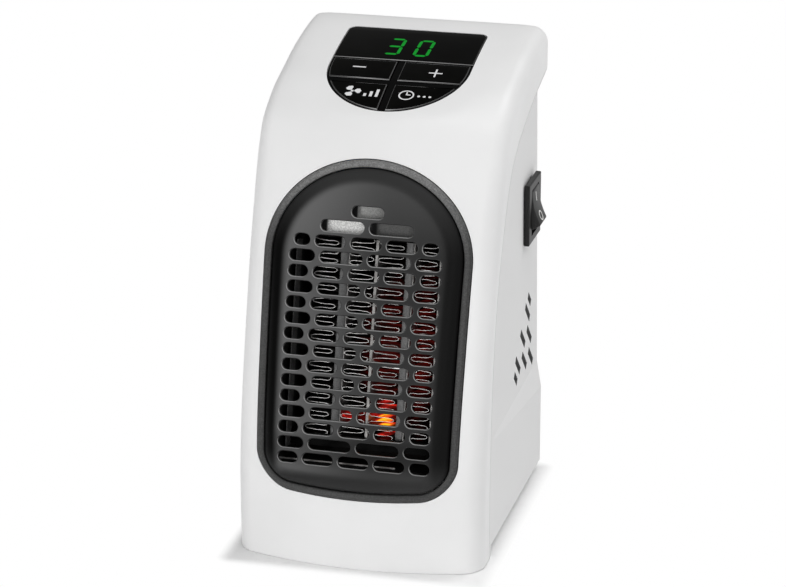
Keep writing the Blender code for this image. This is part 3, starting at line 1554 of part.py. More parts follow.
def blade(angle):
    """One twisted vane from the hub's wall to its tip."""
    front = ROOT_OVERLAP
    middle = front + BLADE_DEEP / 2
    work = bmesh.new()
    loops = []
    for radius, twist in ((FAN_HUB - ROOT_OVERLAP, BLADE_ROOT_TWIST), (BLADE_TIP, BLADE_TIP_TWIST)):
        half = BLADE_DEEP / 2
        across = half * math.tan(math.radians(90) - twist) * math.sin(twist)
        normal = Vector((math.cos(twist), 0, math.sin(twist))) * BLADE_SHEET / 2
        ends = (Vector((-across, -half, radius)), Vector((across, half, radius)))
        side = Vector((1, 0, 0)) * BLADE_SHEET / 2
        loops.append([ends[0] - side, ends[1] - side, ends[1] + side, ends[0] + side])
    rings = [[work.verts.new(point + Vector((0, middle, 0))) for point in loop] for loop in loops]
    root, tip = rings
    for j in range(4):
        k = (j + 1) % 4
        work.faces.new((root[j], root[k], tip[k], tip[j]))
    work.faces.new(root)
    work.faces.new(tip)
    piece = from_bmesh(work)
    piece.data.transform(Matrix.Rotation(angle, 4, "Y"))
    return piece


def fan_rotor():
    """A cup over the stator, with vanes on its wall."""
    deep = FAN_DEEP - FAN_MOUNT - 2 * GAP
    inner = FAN_HUB - FAN_HUB_WALL
    profile = (
        (SHAFT_RADIUS + GAP, 0),
        (FAN_HUB, 0),
        (FAN_HUB, deep),
        (inner, deep),
        (inner, FAN_HUB_WALL),
        (SHAFT_RADIUS + GAP, FAN_HUB_WALL),
    )
    cup = turned(profile, (0, GAP, 0), (0, 1, 0), 28)
    for i in range(BLADES):
        join(cup, blade(i * 2 * math.pi / BLADES))
    return finish(cup, "fan_rotor", (0.08, 0.08, 0.085), 0.45, parent=rotor_holder())


def fan_shaft():
    length = FAN_DEEP - FAN_MOUNT - GAP
    shaft = cylinder(SHAFT_RADIUS, (0, GAP, 0), (0, length, 0), 12)
    return finish(shaft, "fan_shaft", (0.7, 0.7, 0.72), 0.25, 1.0, rotor_holder())


# Plug


def plug_holder():
    holder = bpy.data.objects.get("plug_axis")
    if holder is None:
        holder = bpy.data.objects.new("plug_axis", None)
        parts.objects.link(holder)
        holder.empty_display_size = PLUG_RADIUS
        holder.parent = heater
        holder.location.z = PLUG_HEIGHT
    return holder


def plug_body():
    """The round plug: the part that enters the socket, the turntable in the rear wall
    and the flange behind it, in one moulding."""
    inner = -WALL - GAP - FLANGE_THICK
    profile = (
        (0, PLUG_LONG),
        (PLUG_RADIUS - PLUG_EDGE, PLUG_LONG),
        (PLUG_RADIUS, PLUG_LONG - PLUG_EDGE),
        (PLUG_RADIUS, 0),
        (TURNTABLE_RADIUS, 0),
        (TURNTABLE_RADIUS, -WALL - GAP),
        (FLANGE_RADIUS, -WALL - GAP),
        (FLANGE_RADIUS, inner),
        (0, inner),
    )
    body = turned(profile, (0, 0, 0), (0, 1, 0), 36)
    for way in (-1, 1):
        z = way * (PLUG_RADIUS - PLUG_NOTCH_DEEP / 2 + OVERRUN / 2)
        long = PLUG_LONG + OVERRUN
        notch = box((PLUG_NOTCH_WIDE, long, PLUG_NOTCH_DEEP + OVERRUN), (0, long / 2, z))
        notch.data.transform(Matrix.Translation((0, GAP, 0)))
        cut(body, notch)
    return finish(body, "plug_body", (0.80, 0.80, 0.81), 0.45, parent=plug_holder())


def plug_pins():
    for name, side in (("left", -1), ("right", 1)):
        profile = (
            (0, PIN_LONG),
            (PIN_RADIUS / 2, PIN_LONG),
            (PIN_RADIUS, PIN_LONG - PIN_RADIUS),
            (PIN_RADIUS, 0),
            (0, 0),
        )
        pin = turned(profile, (side * PIN_SPACING / 2, PLUG_LONG + GAP, 0), (0, 1, 0), 16)
        finish(pin, f"plug_pin_{name}", (0.78, 0.76, 0.70), 0.25, 1.0, plug_holder())


def slip_rings():
    seat = -WALL - GAP - FLANGE_THICK - GAP
    for name, radius in (("inner", SLIP_INNER), ("outer", SLIP_OUTER)):
        outer = radius + SLIP_WIDE
        profile = ((outer, 0), (outer, -SLIP_THICK), (radius, -SLIP_THICK), (radius, 0))
        ring = turned(profile, (0, seat, 0), (0, 1, 0), 24)
        finish(ring, f"slip_ring_{name}", (0.78, 0.60, 0.30), 0.3, 1.0, plug_holder())


def brush_places():
    return {
        "inner": SLIP_INNER + SLIP_WIDE / 2,
        "outer": -SLIP_OUTER - SLIP_WIDE / 2,
    }


def contact_carrier():
    rear = carrier_rear()
    reach = CARRIER_POST_X
    bar = span_box(
        (-reach, rear - CARRIER_THICK, PLUG_HEIGHT - CARRIER_TALL / 2),
        (reach, rear, PLUG_HEIGHT + CARRIER_TALL / 2),
    )
    for x in brush_places().values():
        ends = [(x, rear + way * OVERRUN, PLUG_HEIGHT) for way in (-1, 1)]
        cut(bar, cylinder(BRUSH_RADIUS + GAP, *ends, 12))
    return finish(bar, "contact_carrier", (0.16, 0.16, 0.17), 0.5)


def brushes():
    tip = carrier_rear() + CARRIER_STAND - GAP
    for name, x in brush_places().items():
        brush = cylinder(BRUSH_RADIUS, (x, tip - BRUSH_LONG, PLUG_HEIGHT), (x, tip, PLUG_HEIGHT), 12)
        finish(brush, f"contact_brush_{name}", (0.72, 0.56, 0.30), 0.3, 1.0)


# Control board


def control_board():
    board = span_box(
        (CONTROL_LEFT, -CONTROL_DEPTH - BOARD_THICKNESS, CONTROL_LOW),
        (CONTROL_RIGHT, -CONTROL_DEPTH, CONTROL_HIGH),
    )
    return finish(board, "control_board", (0.05, 0.20, 0.09), 0.5)


def control_front():
    return -CONTROL_DEPTH - BOARD_THICKNESS - GAP


def board_block(name, x, z, wide, tall, deep, colour):
    block = span_box(
        (x - wide / 2, control_front() - deep, z - tall / 2),
        (x + wide / 2, control_front(), z + tall / 2),
    )
    return finish(block, name, colour, 0.45)


def board_parts():
    board_block("relay", RELAY_X, RELAY_Z, RELAY_WIDE, RELAY_TALL, RELAY_DEEP, (0.05, 0.12, 0.35))
    board_block("film_capacitor", FILM_X, FILM_Z, FILM_WIDE, FILM_TALL, FILM_DEEP, (0.62, 0.52, 0.10))
    base = (CAN_X, control_front(), CAN_Z)
    can = cylinder(CAN_RADIUS, (CAN_X, control_front() - CAN_DEEP, CAN_Z), base, 20)
    finish(can, "smoothing_capacitor", (0.06, 0.06, 0.09), 0.4)


# Leads


def lead(name, points, colour):
    """A flexible lead along a smooth line through hand-chosen points."""
    line = smooth_line([Vector(point) for point in points], LEAD_STEPS)
    curve = bpy.data.curves.new(name, "CURVE")
    curve.dimensions = "3D"
    curve.bevel_depth = LEAD_RADIUS
    curve.bevel_resolution = LEAD_SIDES
    curve.use_fill_caps = True
    spline = curve.splines.new("POLY")
    spline.points.add(len(line) - 1)
    for point, place in zip(spline.points, line):
        point.co = (*place, 1)
    holder = bpy.data.objects.new(name, curve)
    parts.objects.link(holder)
    bpy.context.view_layer.update()
    return finish(mesh_of_curve(holder), name, colour, 0.5)


def leads():
    brush_front = carrier_rear() + CARRIER_STAND - GAP - BRUSH_LONG - GAP
    blade_end = bezel_back() - SWITCH_BODY_LONG - GAP - TERMINAL_LONG - GAP
    board = control_front()
    board_lead_x = RELAY_X + RELAY_WIDE / 2 + LEAD_RADIUS * 2
    line_z = SWITCH_HEIGHT - TERMINAL_SPREAD
    load_z = SWITCH_HEIGHT + TERMINAL_SPREAD
    mid_y = (brush_front - FAN_REAR) / 2
    near_y = board - TERMINAL_WIDE
    outer = brush_places()["outer"]
    inner = brush_places()["inner"]
    below = CONTROL_LOW - CARRIER_TALL / 2
    landing = CONTROL_LOW + LEAD_RADIUS * 3
    lead(
        "lead_plug_to_switch",
        [
            (outer, brush_front, PLUG_HEIGHT),
            (outer, mid_y, PLUG_HEIGHT + CARRIER_TALL / 4),
            (outer / 2, mid_y, PLUG_HEIGHT + CARRIER_TALL),
            (0, mid_y, line_z - TERMINAL_WIDE),
            (blade_end / 2, -SWITCH_DEPTH, line_z - TERMINAL_THICK),
            (blade_end, -SWITCH_DEPTH, line_z),
        ],
        (0.30, 0.10, 0.04),
    )
    lead(
        "lead_plug_to_board",
        [
            (inner, brush_front, PLUG_HEIGHT),
            (inner, near_y, PLUG_HEIGHT + CARRIER_TALL / 4),
            ((inner + board_lead_x) / 2, near_y, below - CARRIER_TALL / 2),
            (board_lead_x, near_y, landing),
            (board_lead_x, board - GAP, landing),
        ],
        (0.05, 0.10, 0.40),
    )
    lead(
        "lead_switch_to_board",
        [
            (blade_end, -SWITCH_DEPTH, load_z),
            (blade_end - TERMINAL_LONG / 2, -SWITCH_DEPTH, load_z + TERMINAL_THICK),
            (blade_end - TERMINAL_LONG / 3, board - TERMINAL_WIDE / 2, load_z + TERMINAL_WIDE / 3),
            (blade_end - TERMINAL_LONG / 3, board - GAP, load_z + TERMINAL_WIDE / 3),
        ],
        (0.30, 0.10, 0.04),
    )
    cutout_top = duct_roof(-CUTOUT_DEPTH) + CUTOUT_TALL / math.cos(roof_tilt()) + LEAD_RADIUS
    board_x = CONTROL_LEFT + LEAD_RADIUS * 3
    board_z = RELAY_Z + RELAY_TALL / 2 + TERMINAL_WIDE / 2
    lead(
        "lead_board_to_cutout",
        [
            (board_x, board, board_z),
            (board_x, board - TERMINAL_WIDE, board_z),
            (board_x, board - RELAY_DEEP - TERMINAL_WIDE, RELAY_Z + RELAY_TALL / 2),
            (CUTOUT_X, -FAN_REAR - FAN_DEEP, RELAY_Z),
            (CUTOUT_X, -CUTOUT_DEPTH, cutout_top + TERMINAL_LONG),
            (CUTOUT_X, -CUTOUT_DEPTH, cutout_top),
        ],
        (0.30, 0.10, 0.04),
    )


def build():
    clear_scene()
    make_collections()
    front_cover()
    rear_housing()
    screws()
    grille_ring()
    grille_panel()
    display_bezel()
    display_lens()
    for name in stem_places():
        key(name)
    display_board()
    digit_module()
    tact_switches()
    switch_case()
    rocker()
    switch_terminals()
    heater_core()
    core_clamps()
    heater_duct()
    mica_baffle()
    thermal_cutout()
    thermal_fuse()
    fan_frame()
    fan_stator()
    fan_rotor()
    fan_shaft()
    plug_body()
    plug_pins()
    slip_rings()
    contact_carrier()
    brushes()
    control_board()
    board_parts()
    leads()


build()
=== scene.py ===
import math

import bmesh
import bpy
from mathutils import Matrix, Vector
from mathutils.bvhtree import BVHTree
from mathutils.geometry import delaunay_2d_cdt
from mathutils.interpolate import poly_3d_calc


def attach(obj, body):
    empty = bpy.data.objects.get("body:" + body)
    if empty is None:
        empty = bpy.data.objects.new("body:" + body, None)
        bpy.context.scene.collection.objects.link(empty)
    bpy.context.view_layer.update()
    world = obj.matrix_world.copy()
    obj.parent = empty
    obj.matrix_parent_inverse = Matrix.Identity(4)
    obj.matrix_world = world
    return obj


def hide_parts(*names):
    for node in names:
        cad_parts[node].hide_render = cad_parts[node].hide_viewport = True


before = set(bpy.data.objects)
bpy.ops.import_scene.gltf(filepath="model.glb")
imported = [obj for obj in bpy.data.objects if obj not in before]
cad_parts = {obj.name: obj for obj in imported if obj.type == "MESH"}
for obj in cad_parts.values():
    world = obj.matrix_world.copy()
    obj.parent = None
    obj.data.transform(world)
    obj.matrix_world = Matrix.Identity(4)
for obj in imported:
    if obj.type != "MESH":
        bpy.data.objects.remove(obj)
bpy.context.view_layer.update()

# Camera: it looks at the front and the right side from a little above, through a long
# lens, as the product was photographed.
optics = bpy.data.cameras.new("camera")
optics.lens = 140.44
optics.clip_start = 0.1
camera = bpy.data.objects.new("camera", optics)
camera.location = (0.248093, -1.006617, 0.351070)
camera.rotation_euler = [math.radians(angle) for angle in (70.556, 0, 14.518)]
bpy.context.scene.collection.objects.link(camera)
bpy.context.scene.camera = camera


# Front cover: the bowed front and top in one injection moulding of polished grey-white
# ABS, 2.2 mm thick. It has the holes for the outlet and the key panel, and four screws
# from the rear hold it to the housing.
WIDTH = 0.0852
HEIGHT = 0.165
DEPTH = 0.1023
WALL = 0.0022
GAP = 0.0003
# Height of the cover's lower edge: the origin is on the plug's axis
FOOT = -0.078
# Depth and height of the crest, then of the seam, as shares of the casing's
COVER_STATIONS = (
    (0.997, 0.000, 0.811, 0.000),
    (1.000, 0.085, 0.817, 0.079),
    (0.999, 0.170, 0.819, 0.158),
    (0.986, 0.255, 0.813, 0.236),
    (0.961, 0.345, 0.803, 0.327),
    (0.925, 0.442, 0.784, 0.421),
    (0.883, 0.545, 0.750, 0.521),
    (0.843, 0.636, 0.700, 0.609),
    (0.803, 0.712, 0.645, 0.679),
    (0.759, 0.782, 0.596, 0.736),
    (0.712, 0.842, 0.533, 0.785),
    (0.640, 0.903, 0.455, 0.818),
    (0.508, 0.950, 0.372, 0.841),
    (0.362, 0.978, 0.274, 0.863),
    (0.215, 1.002, 0.166, 0.884),
    (0.000, 1.024, 0.000, 0.907),
)
# The flat for the key panel is an arc across the crowned top
FACET_RADIUS = 0.232
FACET_FRONT = (-0.0680, 0.147)
FACET_BLEND = 0.0005
# The rear edge of the top drops by this much over the last stretch
REAR_FALL = 0.0005
REAR_RUN = 0.010
# Radii of the side corners and of the bow across, on the front and on the top. The
# front's hold up to this share of the crest's length, then they change evenly.
CORNERS = (0.0060, 0.0045)
BOWS = (0.13, 0.18)
CROWN_START = 0.55
COVER_EDGE = 0.00022


def smooth_through(points, steps):
    """Points of a Catmull-Rom curve through the given ones."""
    points = [Vector(point) for point in points]
    ends = [2 * points[0] - points[1]] + points + [2 * points[-1] - points[-2]]
    line = []
    for i in range(len(points) - 1):
        a, b, c, d = ends[i : i + 4]
        for k in range(steps):
            t = k / steps
            bend = (2 * a - 5 * b + 4 * c - d) * t**2 + (3 * b - a - 3 * c + d) * t**3
            line.append((2 * b + (c - a) * t + bend) / 2)
    return line + [points[-1]]


def line_normals(line):
    """Unit normals of a (y, z) line, to the front and up."""
    normals = []
    for i in range(len(line)):
        run = line[min(i + 1, len(line) - 1)] - line[max(i - 1, 0)]
        normals.append(Vector((-run.y, run.x)).normalized())
    return normals


def facet_centre():
    """Centre of the key panel's arc, from the side."""
    front = Vector(FACET_FRONT)
    rear = Vector((0, HEIGHT))
    chord = rear - front
    across = Vector((-chord.y, chord.x)).normalized()
    return (front + rear) / 2 - across * math.sqrt(FACET_RADIUS**2 - chord.length**2 / 4)


def facet_height(y):
    """Height of the flat above the cover's foot."""
    centre = facet_centre()
    return centre.y + math.sqrt(FACET_RADIUS**2 - (y - centre.x) ** 2)


def cover_section(crown):
    """(x, drop below the crest) from the side wall to the middle. The bow gets flatter
    and the corner tighter as crown goes from 0, on the front, to 1, on the top."""
    corner, bow = [low + (high - low) * crown for low, high in (CORNERS, BOWS)]
    flat = WIDTH / 2 - corner
    section = []
    for i in range(10):
        angle = math.radians(90) * i / 9
        x = flat + corner * math.cos(angle)
        section.append((x, corner * (1 - math.sin(angle)) + x**2 / (2 * bow)))
    for i in range(1, 19):
        x = flat * (1 - i / 18)
        section.append((x, x**2 / (2 * bow)))
    return section


def cover_skin():
    """Rows of points across the cover's outer skin, from its foot to the rear."""
    crest = smooth_through([(-y * DEPTH, z * HEIGHT) for y, z, *_ in COVER_STATIONS], 8)
    seam = smooth_through([(-y * DEPTH, z * HEIGHT) for *_, y, z in COVER_STATIONS], 8)
    rows = []
    for i, (top, normal, edge) in enumerate(zip(crest, line_normals(crest), seam)):
        crown = max(0, (i / (len(crest) - 1) - CROWN_START) / (1 - CROWN_START))
        arcs = [(x, *(top - normal * drop)) for x, drop in cover_section(crown)]
        for k, (x, y, z) in enumerate(arcs):
            level = facet_height(y)
            low = (z + level - math.sqrt((z - level) ** 2 + FACET_BLEND**2)) / 2
            arcs[k] = (x, y, low - REAR_FALL * max(0, y / REAR_RUN + 1) ** 2)
        shoulder = Vector(arcs[0])
        start = Vector((WIDTH / 2, *edge))
        half = [start.lerp(shoulder, k / 8) for k in range(8)] + [Vector(p) for p in arcs]
        for point in half:
            point.z += FOOT
        rows.append([Vector((-p.x, p.y, p.z)) for p in half] + half[-2::-1])
    return rows


def new_piece(name, data):
    piece = bpy.data.objects.new(name, data)
    bpy.context.scene.collection.objects.link(piece)
    return piece


def mesh_from(work):
    """A mesh of a finished bmesh, with all faces turned outwards."""
    bmesh.ops.recalc_face_normals(work, faces=work.faces)
    mesh = bpy.data.meshes.new("piece")
    work.to_mesh(mesh)
    work.free()
    return mesh


def grid_mesh(rows, closed_rows=False, closed_columns=False):
    """A mesh of quads over rows of points, each row open or closed."""
    work = bmesh.new()
    grid = [[work.verts.new(point) for point in row] for row in rows]
    pairs = list(zip(grid, grid[1:]))
    if closed_columns:
        pairs.append((grid[-1], grid[0]))
    for low, high in pairs:
        count = len(low)
        for i in range(count if closed_rows else count - 1):
            k = (i + 1) % count
            work.faces.new((low[i], low[k], high[k], high[i]))
    return mesh_from(work)


def shade(mesh, degrees=32):
    """Smooth shading, with sharp edges from an angle on."""
    mesh.shade_smooth()
    mesh.set_sharp_from_angle(angle=math.radians(degrees))


def settled(piece):
    """The piece's modifiers, applied to its mesh."""
    bpy.context.view_layer.update()
    graph = bpy.context.evaluated_depsgraph_get()
    mesh = bpy.data.meshes.new_from_object(piece.evaluated_get(graph))
    piece.modifiers.clear()
    piece.data = mesh
    return mesh


def round_edges(piece, width, segments=2, degrees=40):
    """A bevel on the edges that turn by more than an angle."""
    bevel = piece.modifiers.new("edges", "BEVEL")
    bevel.width = width
    bevel.segments = segments
    bevel.limit_method = "ANGLE"
    bevel.angle_limit = math.radians(degrees)
    bevel.use_clamp_overlap = True
    bevel.miter_outer = "MITER_ARC"


def band(work, ring, after, finish=0):
    """Faces between two closed rings of vertices."""
    for i in range(len(ring)):
        k = (i + 1) % len(ring)
        work.faces.new((ring[i], ring[k], after[k], after[i])).material_index = finish


def slab(work, outline, low, high, place):
    """A solid between two levels of an outline, where place puts each (x, y, level)."""
    ends = [[work.verts.new(place(x, y, h)) for x, y in outline] for h in (low, high)]
    work.faces.new(ends[0][::-1])
    work.faces.new(ends[1])
    band(work, *ends)


def prism(outline, low, high, place):
    """A solid between two levels of an outline in a frame's x and y."""
    work = bmesh.new()
    slab(work, outline, low, high, lambda x, y, h: place @ Vector((x, y, h)))
    return mesh_from(work)


def carve(piece, *cutters):
    """Cuts meshes out of a piece, which keeps its shading wherever its skin stays."""
    uncut = piece.data
    for mesh in cutters:
        cutter = new_piece("cutter", mesh)
        boolean = piece.modifiers.new("cut", "BOOLEAN")
        boolean.object = cutter
        boolean.solver = "EXACT"
        settled(piece)
        bpy.data.objects.remove(cutter)
    keep_shading(piece.data, uncut)


def keep_shading(mesh, uncut, reach=0.00004):
    """Takes the normals over from the uncut mesh where a face still lies on it."""
    shade(mesh)
    points = [vertex.co.copy() for vertex in uncut.vertices]
    faces = [tuple(face.vertices) for face in uncut.polygons]
    tree = BVHTree.FromPolygons(points, faces)
    old = [Vector(corner.vector) for corner in uncut.corner_normals]
    new = [Vector(corner.vector) for corner in mesh.corner_normals]
    for face in mesh.polygons:
        normal, index, far = tree.find_nearest(face.center)[1:]
        if far > reach or normal.dot(face.normal) < 0.98:
            continue
        loops = uncut.polygons[index].loop_indices
        ring = [points[vertex] for vertex in faces[index]]
        for corner, vertex in zip(face.loop_indices, face.vertices):
            weights = poly_3d_calc(ring, mesh.vertices[vertex].co)
            total = sum((old[loop] * weight for loop, weight in zip(loops, weights)), Vector())
            new[corner] = total.normalized()
    mesh.normals_split_custom_set(new)


# Frames of the sloping outlet and of the key panel: x across, y up, z out of the face.
# The outlet's starts in the middle of its arch and leans back by some degrees, and the
# key panel's starts in its middle.
OUTLET_Y = -0.0853
OUTLET_Z = 0.1042
OUTLET_LEAN = 14.3
KEY_PANEL_Y = -0.0397
outlet = Matrix.Translation((0, OUTLET_Y, OUTLET_Z + FOOT))
outlet = outlet @ Matrix.Rotation(math.radians(90 - OUTLET_LEAN), 4, "X")
into_outlet = outlet.inverted()
outlet_out = outlet.to_3x3() @ Vector((0, 0, 1))
panel_tilt = math.asin((facet_centre().x - KEY_PANEL_Y) / FACET_RADIUS)
key_panel = Matrix.Translation((0, KEY_PANEL_Y, facet_height(KEY_PANEL_Y) + FOOT))
key_panel = key_panel @ Matrix.Rotation(panel_tilt, 4, "X")


def arc_points(centre, radius, start, end, steps, squash=1.0):
    """Points of an arc, both ends with it, whose height is squashed by a factor."""
    points = []
    for i in range(steps + 1):
        angle = start + (end - start) * i / steps
        x = centre[0] + radius * math.cos(angle)
        points.append((x, centre[1] + radius * squash * math.sin(angle)))
    return points


def eased(share):
    """A smooth step from 0 to 1, level at both ends."""
    share = min(max(share, 0), 1)
    return share**2 * (3 - 2 * share)


# The arch's half width and rise, then the foot's half width, corner radius and level
ARCH_HALF = 0.0353
ARCH_RISE = 0.0327
FOOT_HALF = 0.0344
FOOT_CORNER = 0.0125
FOOT_LEVEL = -0.0802
# The foot sags in the middle and bows up to its corners, fully so at the end of the run
FOOT_SAG = 0.0005
FOOT_BOW = 0.0030
BOW_START = -0.0540
BOW_RUN = 0.0240


def arch(inset):
    """The outlet's outline: an arch on straight sides, with a rounded and bowed foot."""
    half = ARCH_HALF - inset
    rise = ARCH_RISE - inset
    foot_half = FOOT_HALF - inset
    radius = FOOT_CORNER - inset
    foot = FOOT_LEVEL + inset
    points = arc_points((0, 0), half, 0, math.pi, 88, rise / half)
    side = [(-half + (half - foot_half) * i / 30, (foot + radius) * i / 30) for i in range(1, 30)]
    points += side
    points += arc_points((radius - foot_half, foot + radius), radius, math.pi, math.pi * 1.5, 14)
    points += [((radius - foot_half) * (1 - i / 12), foot) for i in range(1, 24)]
    points += arc_points((foot_half - radius, foot + radius), radius, -math.pi / 2, 0, 14)
    points += [(-x, y) for x, y in side[::-1]]
    bowed = []
    for x, y in points:
        bow = FOOT_BOW * (x / FOOT_HALF) ** 2 - FOOT_SAG
        bowed.append((x, y + eased((BOW_START - y) / BOW_RUN) * bow))
    return bowed


# The key panel's half width, the reach of its nose and of its top end, and its corners
KEY_PANEL_HALF = 0.0246
KEY_PANEL_NOSE = 0.0256
KEY_PANEL_TOP = 0.0283
KEY_PANEL_CORNER = 0.003


def key_panel_outline(grow):
    """A square top end with small corners, and a round nose."""
    half = KEY_PANEL_HALF + grow
    nose = KEY_PANEL_NOSE + grow
    radius = KEY_PANEL_CORNER
    side = half - radius
    high = KEY_PANEL_TOP + grow - radius
    points = arc_points((side, high), radius, 0, math.pi / 2, 8)
    points += arc_points((-side, high), radius, math.pi / 2, math.pi, 8)
    return points + arc_points((0, 0), half, math.pi, 2 * math.pi, 72, nose / half)


class Shade:
    """A value or vector in a coat's nodes, which follows Python's arithmetic."""

    def __init__(self, coat, socket):
        self.coat = coat
        self.socket = socket

    def apply(self, operation, *terms):
        sockets = [term.socket.type for term in terms if isinstance(term, Shade)]
        wide = "VECTOR" in sockets or "RGBA" in sockets or any(isinstance(t, tuple) for t in terms)
        kind = "ShaderNodeVectorMath" if wide else "ShaderNodeMath"
        return self.coat.node(kind, {"operation": operation}, dict(enumerate(terms)))

    def __add__(self, other):
        return self.apply("ADD", self, other)

    def __sub__(self, other):
        return self.apply("SUBTRACT", self, other)

    def __rsub__(self, other):
        return self.apply("SUBTRACT", other, self)

    def __mul__(self, other):
        return self.apply("MULTIPLY", self, other)

    def __truediv__(self, other):
        return self.apply("DIVIDE", self, other)

    def __pow__(self, other):
        return self.apply("POWER", self, other)

    def __abs__(self):
        return self.apply("ABSOLUTE", self)

    __radd__ = __add__
    __rmul__ = __mul__

    def at_least(self, low):
        return self.apply("MAXIMUM", self, low)

    def at_most(self, high):
        return self.apply("MINIMUM", self, high)

    def part(self, axis):
        return self.coat.node("ShaderNodeSeparateXYZ", {}, {0: self}, output=axis)

    def ramp(self, low, high, start=0.0, end=1.0):
        """start up to low, end from high, and a smooth step between."""
        settings = {"interpolation_type": "SMOOTHSTEP"}
        feeds = {"Value": self, "From Min": low, "From Max": high, "To Min": start, "To Max": end}
        return self.coat.node("ShaderNodeMapRange", settings, feeds)

    def choose(self, first, second):
        """The first value where this one is 0, the second where it is 1."""
        return first + (second - first) * self

    def between(self, low, high, blend):
        """1 between two values and 0 outside them, with a smooth step inside each."""
        return self.ramp(low, low + blend) * self.ramp(high - blend, high, 1, 0)

    def mix(self, first, second):
        """The first colour where this value is 0, the second where it is 1."""
        feeds = {0: self, 6: first, 7: second}
        return self.coat.node("ShaderNodeMix", {"data_type": "RGBA"}, feeds, output=2)


class Coat:
    """The material of one finish, on a Principled shader."""

    def __init__(self, name, **fixed):
        self.material = bpy.data.materials.new(name)
        self.material.use_nodes = True
        self.tree = self.material.node_tree
        self.shader = self.tree.nodes["Principled BSDF"]
        self.set(**fixed)
        self.place = self.node("ShaderNodeTexCoord", {}, {}, output=3)

    def node(self, kind, settings, feeds, output=0):
        """A new node, with its settings first and its sockets' values or links after."""
        made = self.tree.nodes.new(kind)
        for name, value in settings.items():
            setattr(made, name, value)
        for name, value in feeds.items():
            self.feed(made.inputs[name], value)
        return Shade(self, made.outputs[output])

    def feed(self, socket, value):
        if isinstance(value, Shade):
            self.tree.links.new(value.socket, socket)
        elif socket.type == "RGBA":
            socket.default_value = (*value, 1)
        elif socket.type == "VECTOR" and not isinstance(value, tuple):
            socket.default_value = (value, value, value)
        else:
            socket.default_value = value

    def set(self, **values):
        for name, value in values.items():
            self.feed(self.shader.inputs[name.replace("_", " ")], value)

    def noise(self, size, detail=2.0, roughness=0.5):
        """Values about 0.5, in patches of about the given size in metres."""
        feeds = {"Vector": self.place, "Scale": 1 / size, "Detail": detail, "Roughness": roughness}
        return self.node("ShaderNodeTexNoise", {}, feeds)

    def dot(self, value, direction):
        feeds = {0: value, 1: tuple(direction)}
        return self.node("ShaderNodeVectorMath", {"operation": "DOT_PRODUCT"}, feeds, output=1)

    def along(self, axis):
        """How far a place is along an axis of the outlet's frame."""
        row = into_outlet[axis]
        return self.dot(self.place, row[:3]) + row[3]

    def facing(self, direction):
        """How far the surface faces a direction, from -1 to 1."""
        normal = self.node("ShaderNodeNewGeometry", {}, {}, output="Normal")
        return self.dot(normal, direction)

    def bump(self, height, distance, strength=1.0):
        feeds = {"Height": height, "Distance": distance, "Strength": strength}
        return self.node("ShaderNodeBump", {}, feeds)

    def on(self, *pieces):
        for piece in pieces:
            if piece.data.materials:
                piece.data.materials[0] = self.material
            else:
                piece.data.materials.append(self.material)


def grey(level):
    return (level, level, level)


def polished_plastic(name, colour, roughness, shine):
    """Glossy moulding: the faint waviness of a polished mould, and fine handling haze.
    Where the colour is None, the piece sets its own."""
    coat = Coat(name, Specular_IOR_Level=shine)
    haze = coat.noise(0.004, 4, 0.6)
    peel = coat.noise(0.0011, 2)
    grain = coat.noise(0.00018, 1)
    coat.set(
        Roughness=roughness + haze * 0.05 + (grain - 0.5) * 0.06,
        Normal=coat.bump(peel + haze * 2, 0.000012, 0.5),
    )
    if colour:
        duller = tuple(channel * 0.965 for channel in colour)
        coat.set(Base_Color=coat.noise(0.03, 3).ramp(0.3, 0.7).mix(duller, colour))
    return coat


def cover_piece():
    """The skin, thickened inwards, cut off behind the wall and pierced."""
    piece = new_piece("front_cover_shell", grid_mesh(cover_skin()))
    solid = piece.modifiers.new("wall", "SOLIDIFY")
    solid.thickness = WALL
    solid.offset = -1
    solid.use_even_offset = True
    round_edges(piece, COVER_EDGE, 2, 60)
    settled(piece)
    shade(piece.data)
    behind = prism([(-1, 0), (1, 0), (1, 1), (-1, 1)], -1, 1, Matrix.Identity(4))
    hole = prism(arch(-GAP), -0.05, 0.05, outlet)
    window = prism(key_panel_outline(0), -0.02, 0.02, key_panel)
    carve(piece, behind, hole, window)
    return piece


cover = cover_piece()
shell_white = polished_plastic("shell_white", grey(0.80), 0.36, 0.3)
shell_white.on(cover)
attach(cover, "casing")
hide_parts("front_cover")

# Rear housing: the sides, the floor and the rear wall in one moulding of the same ABS,
# a little less polished. It narrows to the rear above a flared foot.


def dress(coat, *names, edge=0.0, segments=2, degrees=35):
    """Puts a coat on solids of the frame that stay, and rounds their edges."""
    for name in names:
        coat.on(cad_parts[name])
        if edge:
            round_edges(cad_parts[name], edge, segments, degrees)


# Depth and height of the side walls' vents, whose inner walls get painted shade
VENTS_DEPTH = (-0.0640, -0.0030)
VENTS_HEIGHT = (-0.0700, 0.0020)
housing_white = polished_plastic("housing_white", grey(0.77), 0.50, 0.06)
wall_white = polished_plastic("wall_white", None, 0.50, 0.06)
across, depth, up = [wall_white.place.part(axis) for axis in range(3)]
outward = wall_white.facing((1, 0, 0)) * across.ramp(-0.0001, 0.0001, -1, 1)
vents = depth.between(*VENTS_DEPTH, 0.001) * up.between(*VENTS_HEIGHT, 0.001)
# Painted shade: the vents' walls that don't face outwards are darker.
painted_vent_shade = outward.ramp(0.3, 0.6, 1, 0) * vents
wall_white.set(Base_Color=painted_vent_shade.mix(grey(0.77), grey(0.14)))
dress(wall_white, "rear_housing", edge=0.0004)


# Outlet ring: a dark grey PP frame with a fine spark-eroded grain, clipped into the
# cover's arched hole, with a chamfer on its outer edge.
RING_BAND = 0.0026
RING_PROUD = 0.0011
RING_SINK = 0.0026


